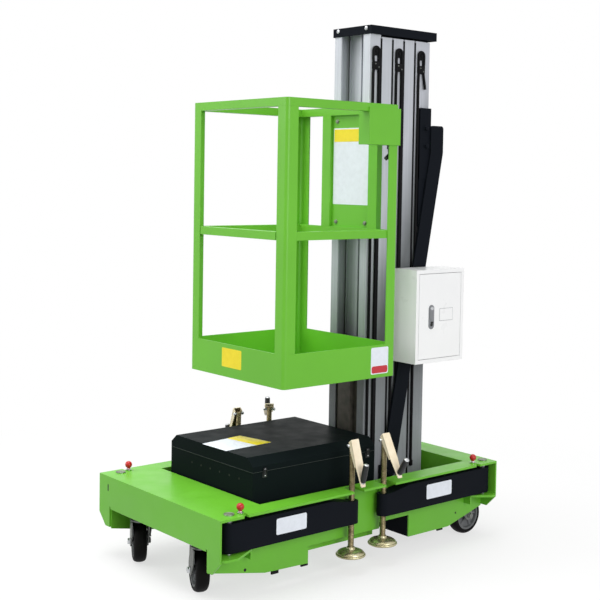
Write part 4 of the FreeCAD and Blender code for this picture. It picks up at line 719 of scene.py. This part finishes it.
ropeSizes = {
    "strand": 0.0054, "away": 0.0055, "foot": 0.262, "spread": 0.0145, "joinDown": 0.03, "joinIn": 0.8,
    "legUp": 0.012, "headHalf": 0.0205, "headHigh": 1.8835, "windowHigh": 1.8665, "windowHalf": 0.0085,
    "legFoot": 1.840, "legOver": 0.003, "plateThick": 0.0062, "plateBevel": 0.001,
    "clampHigh": 1.8285, "clamp": (0.036, 0.031, 0.006, 0.0106, 0.0018, 0.002),
    "ferrule": 0.0072, "ferruleTall": 0.022, "ferruleEdge": 0.0008, "ferruleDown": 0.004,
    "axle": ((0, 0), (0, 0.006), (0.0085, 0.006), (0.0096, 0.0048), (0.0096, 0)),
    "bolt": 0.0046, "boltTall": 0.0024, "boltOut": 0.0102, "boltY": 0.0085, "boltZ": 0.006,
    # The free tail's points: out, along Y, height.
    "tail": ((0.001, 0.013, 1.8065), (0.003, 0.021, 1.753)),
}
# Each row: section, the head's middle along Y, and whether the second strand is a free tail.
ropeRows = ((5, 0.2355, False), (3, 0.3575, False), (1, 0.4795, True))
mastHalf = float(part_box("mast_section_3")[1].x)


# One leg of a rope from its foot up to the head; way is -1 in front of the head's middle, 1 behind it.
def ropeLeg(x, middle, radius, way):
    s = ropeSizes
    return [(x, middle + way * s["spread"], s["foot"]),
            (x, middle + way * s["spread"], s["clampHigh"] - s["joinDown"]),
            (x, middle + way * radius * s["joinIn"], s["clampHigh"]),
            (x, middle + way * radius, s["legFoot"] + s["legUp"])]


for number, middle, tailed in ropeRows:
    s = ropeSizes
    x = mastHalf + s["away"]
    lap = np.linspace(0, math.pi, 17)
    radius = s["headHalf"] - s["strand"]
    crown = np.stack([np.full(17, x), middle - radius * np.cos(lap),
                      s["headHigh"] + radius * np.sin(lap)], 1)
    back = ropeLeg(x, middle, radius, 1)[::-1]
    if tailed:
        back[2:] = [(x + out, middle + along, height) for out, along, height in s["tail"]]
    front = ropeLeg(x, middle, radius, -1)
    strand = tubeSkin(np.concatenate([front, crown, back]), s["strand"], eastward)
    thick = onWall(s["plateThick"], s["plateBevel"])
    arc = np.linspace(0, math.pi, 21)
    hood = np.stack([radius * np.cos(arc), s["headHigh"] - s["windowHigh"] + radius * np.sin(arc)], 1)
    hood = np.concatenate([[(-radius, 0), (radius, 0)], hood])
    head = plateSkin(hood, (mastHalf, middle, s["windowHigh"]), northward, upward, thick)
    legTall = s["windowHigh"] - s["legFoot"] + s["legOver"]
    legs = [plateSkin(stripOutline(low, high, legTall), (mastHalf, middle, s["legFoot"]), northward, upward,
                      thick) for low, high in ((-radius, -s["windowHalf"]), (s["windowHalf"], radius))]
    clamp = wallPlate((mastHalf, middle, s["clampHigh"]), northward, *s["clamp"])
    wide, tall, edge = s["ferrule"], s["ferruleTall"], s["ferruleEdge"]
    sleeve = [(0, 0), (0, wide - edge), (edge, wide), (tall - edge, wide), (tall, wide - edge), (tall, 0)]
    foot = s["foot"] - s["ferruleDown"]
    ends = [turnedSkin(sleeve, (mastHalf + wide, middle + way * s["spread"], foot), upward, 24)
            for way in ((-1,) if tailed else (-1, 1))]
    axle = turnedSkin(s["axle"], (mastHalf, middle, s["headHigh"]), eastward, 24)
    bolts = []
    for way in (-1, 1):
        seat = (mastHalf + s["boltOut"], middle + way * s["boltY"], s["clampHigh"] - way * s["boltZ"])
        bolts += hexHead(seat, eastward, s["bolt"], s["boltTall"])
    body = "section_%d" % number if number > 1 else "base"
    skins = onBothSides([strand, head, clamp] + ends + legs + [axle])
    rope = makePiece("lift_ropes_%d" % number, skins, body, ropeRubber, 45)
    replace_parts(rope, "rope_sheaves_%d" % number)
    makePiece("rope_clamp_bolts_%d" % number, onBothSides(bolts), body, forkZinc)

# Dark strips down each gap between two sections, painted shade of the gap, fixed to the outer one of the
# pair.
gapShadeSizes = {
    "wide": 0.0044, "deep": 0.0090, "bevel": 0.0006, "inset": 0.0004, "end": 0.006, "sideFace": 0.056,
    "lipWide": 0.0092, "lipOut": 0.0010, "lipBevel": 0.0003, "lipGap": 0.0001,
}
for number in (4, 3, 2, 1):
    s = gapShadeSizes
    low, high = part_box("mast_section_%d" % number)
    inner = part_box("mast_section_%d" % (number + 1))[0]
    middle = (float(inner.y) + s["sideFace"] + float(low.y)) / 2
    foot, tall = low.z + s["end"], float(high.z - low.z) - 2 * s["end"]
    strip = plateSkin(stripOutline(-s["wide"] / 2, s["wide"] / 2, tall),
                      (mastHalf - s["inset"] - s["deep"], middle, foot), northward, upward,
                      onWall(s["deep"], s["bevel"]))
    lip = plateSkin(stripOutline(-s["lipWide"] / 2, s["lipWide"] / 2, tall),
                    (mastHalf + s["lipGap"], middle, foot), northward, upward,
                    onWall(s["lipOut"], s["lipBevel"]))
    body = "section_%d" % number if number > 1 else "base"
    makePiece("gap_shade_strips_%d" % number, onBothSides([strip, lip]), body, ropeRubber)

# The inner section's front channel: two fine ribs on its web, and a darker strip outside each, painted
# shade of a groove. Each has its middle, width and depth.
channelSizes = {
    "web": 0.259, "end": 0.002, "ribs": (0.0625, 0.0026, 0.006), "grooves": (0.0795, 0.0300, 0.0008),
}
s = channelSizes
low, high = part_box("mast_section_5")
for name, finish in (("ribs", mastMetal), ("grooves", grooveShadeMetal)):
    middle, wide, deep = s[name]
    outline = stripOutline(middle - wide / 2, middle + wide / 2, float(high.z - low.z) - 2 * s["end"])
    strip = plateSkin(outline, (0, s["web"], low.z + s["end"]), eastward, upward,
                      onWall(deep, 0.0002, 0.0003))
    makePiece("mast_channel_" + name, onBothSides([strip]), "section_5", finish)
print("ropes and strips made")


# Fasteners: each head is its width, its height and its washer's share of the width.
capBoltSizes = {"x": 0.0795, "down": 0.011, "wide": 0.0165, "tall": 0.005}
s = capBoltSizes
capLow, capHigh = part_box("mast_cap")
skins = []
for x in (-s["x"], s["x"]):
    for y, way in ((capLow.y, -northward), (capHigh.y, northward)):
        skins += buttonHead((x, y, capHigh.z - s["down"]), way, s["wide"], s["tall"])
makePiece("cap_bolts", skins, "section_5", brightZinc)

stayBoltSizes = {
    "upper": ((0.506, 1.600), (0.508, 1.531)), "upperIn": 0.008, "upperHead": (0.017, 0.008, 1.35),
    "lower": (0.325, 0.25), "lowerHead": (0.019, 0.008, 1.35),
}
s = stayBoltSizes
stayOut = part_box("mast_stays")[1].x
skins = []
for y, z in s["upper"]:
    skins += onBothSides(hexHead((stayOut - s["upperIn"], y, z), eastward, *s["upperHead"]))
skins += onBothSides(hexHead((stayOut, *s["lower"]), eastward, *s["lowerHead"]))
makePiece("stay_bolts", skins, "base", blackCoat)

# Gusset plates in the corners between the stays and the mast.
webSizes = {
    "corners": ((0.474, 1.213), (0.535, 1.50), (0.474, 1.50)), "x": 0.1005, "edge": (0.0101, 0.0006),
}
web = plateSkin(webSizes["corners"], (webSizes["x"], 0, 0), northward, upward, onWall(*webSizes["edge"]))
makePiece("stay_webs", onBothSides([web]), "base", blackCoat)

signBoltSizes = {"x": (-0.044, 0.120), "z": (1.617, 1.229), "head": (0.0125, 0.005, 1.35)}
s = signBoltSizes
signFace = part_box("sign_panel")[0].y
skins = []
for x in s["x"]:
    for z in s["z"]:
        skins += hexHead((x, signFace, z), -northward, *s["head"])
makePiece("sign_bolts", skins, "cage", pinZinc)

footBoltSizes = {"x": (-0.106, 0.106), "y": (0.30, 0.49), "z": 0.204, "head": (0.013, 0.007, 1.3)}
s = footBoltSizes
skins = []
for x in s["x"]:
    for y in s["y"]:
        skins += hexHead((x, y, s["z"]), upward, *s["head"])
makePiece("mast_foot_bolts", skins, "base", brightZinc)
print("bolts made")


# The power box's lip and seam run all the way round at its split. Each has how far it stands out, its
# start above the split, and its steps of (height, inset).
boxSizes = {
    "corner": 0.004,
    "lip": (0.0012, -0.001, ((0, 0.0012), (0, 0), (0.0030, 0), (0.0040, 0.0012))),
    "seam": (0.0015, 0.0004, ((0, 0.0004), (0.0003, 0), (0.0011, 0), (0.0014, 0.0004))),
    "vent": 0.0036, "ventThick": 0.0003, "ventHigh": 0.359,
    "ventX": (-0.113, -0.056, 0.0, 0.057, 0.114, 0.171),
}
boxLow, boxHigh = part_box("power_box")
split = float(boxHigh.z)
middleY = float(boxLow.y + boxHigh.y) / 2
for name, slot, finish in (("lip", "black_paint", boxCoat), ("seam", "bright_zinc", seamGrey)):
    out, lift, steps = boxSizes[name]
    outline = roundedOutline(float(boxHigh.x - boxLow.x) + 2 * out, float(boxHigh.y - boxLow.y) + 2 * out,
                             boxSizes["corner"])
    band = plateSkin(outline, (0, middleY, split + lift), eastward, northward, steps)
    makePiece("cover_" + name, [band], "base", finish)
# The vent holes as dark discs on the box's front: painted shade.
vents = [turnedSkin(pinProfile(boxSizes["vent"], boxSizes["ventThick"]), (x, boxLow.y, boxSizes["ventHigh"]),
                    -northward, 20) for x in boxSizes["ventX"]]
makePiece("vent_holes", vents, "base", holeShade)

# Two latches on each long side: keeper and hasp (out, height above the split, then their plate), the
# wire hook through them (out, along Y, up), and two rivets.
latchSizes = {
    "y": (-0.390, 0.091), "keeper": (0, -0.012, 0.020, 0.018, 0.003, 0.0028, 0.0006, 0.0006),
    "hasp": (0.0024, -0.002, 0.015, 0.030, 0.005, 0.0024, 0.0006, 0.0006), "wire": 0.0014,
    "hook": ((0.0045, -0.005, -0.010), (0.0075, -0.005, 0.004), (0.0070, 0, 0.010), (0.0075, 0.005, 0.004),
             (0.0045, 0.005, -0.010)),
    "rivet": ((0, 0), (0, 0.0030), (0.0012, 0.0026), (0.0020, 0.0014), (0.0022, 0)),
    "rivetOut": 0.0046, "rivetUp": (0.008, -0.014),
}
s = latchSizes
latches, rivets = [], []
for y in s["y"]:
    for name in ("keeper", "hasp"):
        out, lift, *plate = s[name]
        latches += onBothSides([wallPlate((boxHigh.x + out, y, split + lift), northward, *plate)])
    hook = np.array(s["hook"]) + [boxHigh.x, y, split]
    latches += onBothSides([tubeSkin(hook, s["wire"], eastward, 10)])
    for lift in s["rivetUp"]:
        seat = (boxHigh.x + s["rivetOut"], y, split + lift)
        rivets += onBothSides([turnedSkin(s["rivet"], seat, eastward, 20)])
makePiece("cover_latches", latches, "base", blackPlastic)
makePiece("cover_latch_rivets", rivets, "base", brightZinc)
print("power box dressed")


# The cabinet's lock. Each plate: out, Y, Z, then width, height, corner radius, depth, bevel and inset.
lockSizes = {
    "plate": (0, 0.4145, 0.8705, 0.030, 0.094, 0.0148, 0.0022, 0.00088, 0.0011),
    "flap": (0.002, 0.4145, 0.884, 0.021, 0.052, 0.0102, 0.0024, 0.0008, 0.0012),
    "tip": (0.002, 0.4145, 0.9035, 0.017, 0.012, 0.0058, 0.0032, 0.0004, 0.0008),
    "slot": (0.0018, 0.4165, 0.8495, 0.014, 0.0062, 0.0026, 0.0020, 0.0004, 0.0003),
    "keyHole": (0.002, 0.4145, 0.8415), "keyRadius": 0.0070, "keyTall": 0.0012,
}
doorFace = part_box("cabinet_door")[1].x


def onDoor(name):
    out, y, z, *plate = lockSizes[name]
    return wallPlate((doorFace + out, y, z), northward, *plate)


makePiece("cabinet_lock", [onDoor("plate"), onDoor("flap")], "door", lockPlastic)
makePiece("cabinet_lock_tip", [onDoor("tip")], "door", brightZinc)
# The key slot as dark plates on the lock: painted shade.
keyHole = turnedSkin(pinProfile(lockSizes["keyRadius"], lockSizes["keyTall"]),
                     np.array(lockSizes["keyHole"]) + [doorFace, 0, 0], eastward, 28)
makePiece("cabinet_key_slot", [keyHole, onDoor("slot")], "door", holeShade)

consoleSizes = {
    "upper": 1.60, "lower": 1.555, "left": -0.035, "buttonY": (0.005, 0.04),
    "stop": ((0, 0), (0, 0.013), (0.006, 0.013), (0.008, 0.0195), (0.016, 0.0195), (0.0205, 0.015),
             (0.0215, 0)),
    "button": ((0, 0), (0, 0.011), (0.003, 0.011), (0.0042, 0.0098), (0.0042, 0.0085), (0.0075, 0.0082),
               (0.0084, 0.007), (0.0084, 0)),
    "switch": ((0, 0), (0, 0.012), (0.004, 0.012), (0.005, 0.010), (0.010, 0.0095), (0.010, 0)),
}
s = consoleSizes
consoleLow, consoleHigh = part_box("control_console")
consoleX, consoleY = consoleLow.x, float(consoleLow.y + consoleHigh.y) / 2
stop = turnedSkin(s["stop"], (consoleX, consoleY + s["left"], s["upper"]), -eastward, 40)
makePiece("console_stop_button", [stop], "cage", redPlastic)
buttons = [turnedSkin(s["button"], (consoleX, consoleY + y, z), -eastward, 32)
           for y in s["buttonY"] for z in (s["upper"], s["lower"])]
buttons.append(turnedSkin(s["switch"], (consoleX, consoleY + s["left"], s["lower"]), -eastward, 32))
makePiece("console_buttons", buttons, "cage", blackPlastic)

# The cable gland under the console: a hexagon nut, its dome, and a short boot.
glandSizes = {
    "nut": ((0, 0), (0, 0.0114), (-0.012, 0.0118), (-0.014, 0.0106), (-0.014, 0)),
    "dome": ((-0.014, 0), (-0.014, 0.0100), (-0.026, 0.0092), (-0.034, 0.0070), (-0.0395, 0.0056),
             (-0.0395, 0)),
    "boot": ((0, 0), (0, 0.0092), (0.012, 0.0086), (0.020, 0.0074), (0.0245, 0.0076), (0.0265, 0.0062),
             (0.0265, 0)),
    "bootDown": 0.034, "bootWay": (-0.2, -0.75, -0.62),
}
s = glandSizes
low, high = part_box("console_gland")
top = np.array([float(low.x + high.x) / 2, float(low.y + high.y) / 2, high.z])
gland = makePiece("gland_nut", [turnedSkin(s["nut"], top, upward, 36, hexSwell),
                                turnedSkin(s["dome"], top, upward, 32),
                                turnedSkin(s["boot"], top - upward * s["bootDown"], s["bootWay"], 28)],
                  "cage", blackPlastic)
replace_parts(gland, "console_gland")
print("console made")


# Blank labels. The arms' rows: end, middle along Y, width.
armLabelSizes = {
    "rows": (("front", -0.358, 0.132), ("rear", 0.362, 0.136)), "z": 0.2325, "tall": 0.055, "corner": 0.006,
}
s = armLabelSizes
armFace = float(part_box("arm_front_near")[1].x)
for end, y, wide in s["rows"]:
    skin = wallPlate((armFace, y, s["z"]), northward, wide, s["tall"], s["corner"])
    for side, label in (("near", skin), ("far", acrossX(skin))):
        makePiece("arm_label_%s_%s" % (end, side), [label], "outrigger_%s_%s" % (end, side),
                  whiteVinyl)

# Each row: piece, body, finish, centre, the way across, then width, height, corner radius, thickness.
floorLow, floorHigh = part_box("cage_floor")
toeX, toeY = floorHigh.x, floorLow.y
labelRows = (
    ("sign_label", "cage", whiteVinyl, (0.0395, signFace, 1.4440), eastward,
     0.208, 0.294, 0.004, 0.0004),
    ("sign_header", "cage", yellowVinyl, (0.0395, signFace - 0.0004, 1.5625), eastward,
     0.202, 0.048, 0.003, 0.0004),
    ("toe_sticker_front", "cage", yellowVinyl, (-0.0195, toeY, 0.7405), eastward,
     0.117, 0.069, 0.004, 0.0004),
    ("toe_sticker_near", "cage", whiteVinyl, (toeX, 0.1165, 0.7325), northward,
     0.087, 0.098, 0.006, 0.0004),
    ("toe_sticker_strip", "cage", redVinyl, (toeX + 0.0004, 0.1165, 0.7000), northward,
     0.080, 0.026, 0.008, 0.0004),
    ("cabinet_label_edge", "door", greyVinyl, (doorFace, 0.4970, 0.8765), northward,
     0.0745, 0.0485, 0.002, 0.0002),
    ("cabinet_label", "door", whiteCoat, (doorFace + 0.0002, 0.4970, 0.8765), northward,
     0.0718, 0.0458, 0.002, 0.0002),
)
for name, body, finish, centre, across, *plate in labelRows:
    makePiece(name, [wallPlate(centre, across, *plate)], body, finish)

# The cover's label, and the strip along it from a share of its length on.
coverLabelSizes = {
    "corners": ((-0.043, -0.446), (0.095, -0.441), (0.083, -0.229), (-0.069, -0.258)), "stripFrom": 0.66,
    "corner": 0.004, "stripCorner": 0.003, "thick": (0.0004, 0.0001, 0.0002), "stripUp": 0.0003,
}
s = coverLabelSizes
corners = np.array(s["corners"])
coverTop = float(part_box("power_box_cover")[1].z)
label = plateSkin(softened(corners, s["corner"]), (0, 0, coverTop), eastward, northward, onWall(*s["thick"]))
makePiece("cover_label", [label], "base", whiteVinyl)
corners[:2] += (corners[3:1:-1] - corners[:2]) * s["stripFrom"]
strip = plateSkin(softened(corners, s["stripCorner"]), (0, 0, coverTop + s["stripUp"]), eastward, northward,
                  onWall(*s["thick"]))
makePiece("cover_label_strip", [strip], "base", yellowVinyl)

# Dark plates, painted shade of the openings, that stand for a slot in the front deck and for holes (Y, Z,
# radius) in the skirts.
openingSizes = {
    "slot": (0.007, 0.026, 0.0034), "slotX": -0.317, "slotZ": 0.258,
    "slotSteps": ((-0.0004, 0), (0.00006, 0), (0.0001, 0.00005)),
    "holes": ((-0.512, 0.091, 0.0055), (0.515, 0.104, 0.004)), "holeThick": 0.0003, "web": 0.006,
}
s = openingSizes
deckFront = float(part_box("front_deck")[0].y)
slot = plateSkin(roundedOutline(*s["slot"]), (s["slotX"], deckFront, s["slotZ"]), eastward, upward,
                 s["slotSteps"])
makePiece("front_slot", [slot], "base", holeShade)
webOut = float(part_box("side_rail_near")[0].x) + s["web"]
holes = []
for y, z, radius in s["holes"]:
    holes += onBothSides([turnedSkin(pinProfile(radius, s["holeThick"]), (webOut, y, z), eastward, 28)])
makePiece("skirt_holes", holes, "base", holeShade)
print("labels made")


stageSizes = {
    "floorHalf": 30.0, "floorTones": (0.86, 0.88), "floorShade": 0.42, "haze": 0.66, "worldLevel": 0.55,
    "shadowNear": 0.6, "shadowFar": 2.4, "position": (3.311, -2.813, 1.393),
    "azimuth": 50.0242, "elevation": 2.6484, "roll": 0.9311,
    "lens": 69.2514, "sensor": 36.0, "shiftX": -0.0014, "shiftY": -0.1129,
}
white = (1, 1, 1, 1)


def greyOf(level):
    return (level, level, level, 1)


# 1 for a ray from the camera, a reflection or glass, and 0 for one that only gathers light.
def seenDirectly(tree):
    rays = tree.nodes.new("ShaderNodeLightPath").outputs
    seen = mathOf(tree, rays["Is Camera Ray"], rays["Is Glossy Ray"], "MAXIMUM")
    return mathOf(tree, seen, rays["Is Transmission Ray"], "MAXIMUM")


half = stageSizes["floorHalf"]
floorMesh = bpy.data.meshes.new("studio_floor")
floorMesh.from_pydata([(-half, -half, 0), (half, -half, 0), (half, half, 0), (-half, half, 0)], [],
                      [(0, 1, 2, 3)])
floorPiece = bpy.data.objects.new("studio_floor", floorMesh)
bpy.context.scene.collection.objects.link(floorPiece)
floorMaterial = bpy.data.materials.new("studio_floor")
floorMaterial.use_nodes = True
tree = floorMaterial.node_tree
tree.nodes.clear()
place = tree.nodes.new("ShaderNodeTexCoord").outputs["Object"]
distance = addNode(tree, "VectorMath", {0: place}, operation="LENGTH").outputs["Value"]
pale, paler = (greyOf(level) for level in stageSizes["floorTones"])
shown = seenDirectly(tree)
floorTone = blended(tree, noiseAt(tree, place, 3.0), pale, paler)
tone = blended(tree, shown, greyOf(stageSizes["floorShade"]), floorTone)
matte = addNode(tree, "BsdfDiffuse", {"Color": tone}).outputs[0]
glow = addNode(tree, "Emission", {"Color": white, "Strength": 1.0}).outputs[0]
fade = spread(tree, distance, stageSizes["haze"], 1.0, stageSizes["shadowNear"], stageSizes["shadowFar"])
mixed = addNode(tree, "MixShader", {0: mathOf(tree, shown, fade), 1: matte, 2: glow}).outputs[0]
addNode(tree, "OutputMaterial", {"Surface": mixed})
floorMesh.materials.append(floorMaterial)

world = bpy.data.worlds.new("studio")
bpy.context.scene.world = world
world.use_nodes = True
tree = world.node_tree
tree.nodes.clear()
soft = addNode(tree, "Background", {"Color": white, "Strength": stageSizes["worldLevel"]}).outputs[0]
plain = addNode(tree, "Background", {"Color": white, "Strength": 1.0}).outputs[0]
mixed = addNode(tree, "MixShader", {0: seenDirectly(tree), 1: soft, 2: plain}).outputs[0]
addNode(tree, "OutputWorld", {"Surface": mixed})

# Soft boxes: name, place, aim, side, watts.
softBoxes = (("top_box", (-0.5, -0.7, 4.6), (0, 0, 0.6), 3.4, 160),
             ("key_box", (-2.8, -4.6, 3.0), (0, 0, 0.9), 2.8, 96),
             ("fill_box", (5.2, -0.4, 2.2), (0, 0, 0.9), 3.0, 120))
for name, spot, aim, side, watts in softBoxes:
    lamp = bpy.data.lights.new(name, "AREA")
    lamp.size, lamp.energy = side, watts
    holder = bpy.data.objects.new(name, lamp)
    bpy.context.scene.collection.objects.link(holder)
    holder.location = spot
    holder.rotation_euler = (Vector(aim) - Vector(spot)).to_track_quat("-Z", "Y").to_euler()

s = stageSizes
azimuth, elevation, roll = (math.radians(s[key]) for key in ("azimuth", "elevation", "roll"))
level = math.cos(elevation)
back = np.array([math.sin(azimuth) * level, -math.cos(azimuth) * level, math.sin(elevation)])
right = np.array([math.cos(azimuth), math.sin(azimuth), 0])
above = np.cross(back, right)
rolledRight = math.cos(roll) * right + math.sin(roll) * above
rolledAbove = math.cos(roll) * above - math.sin(roll) * right
lens = bpy.data.cameras.new("photo_camera")
lens.lens, lens.sensor_width, lens.shift_x, lens.shift_y = s["lens"], s["sensor"], s["shiftX"], s["shiftY"]
camera = bpy.data.objects.new("photo_camera", lens)
bpy.context.scene.collection.objects.link(camera)
basis = np.eye(4)
basis[:3, 0], basis[:3, 1], basis[:3, 2], basis[:3, 3] = rolledRight, rolledAbove, back, s["position"]
camera.matrix_world = Matrix(basis.tolist())
bpy.context.scene.camera = camera
bpy.context.scene.view_settings.view_transform = "Standard"
print("stage set")
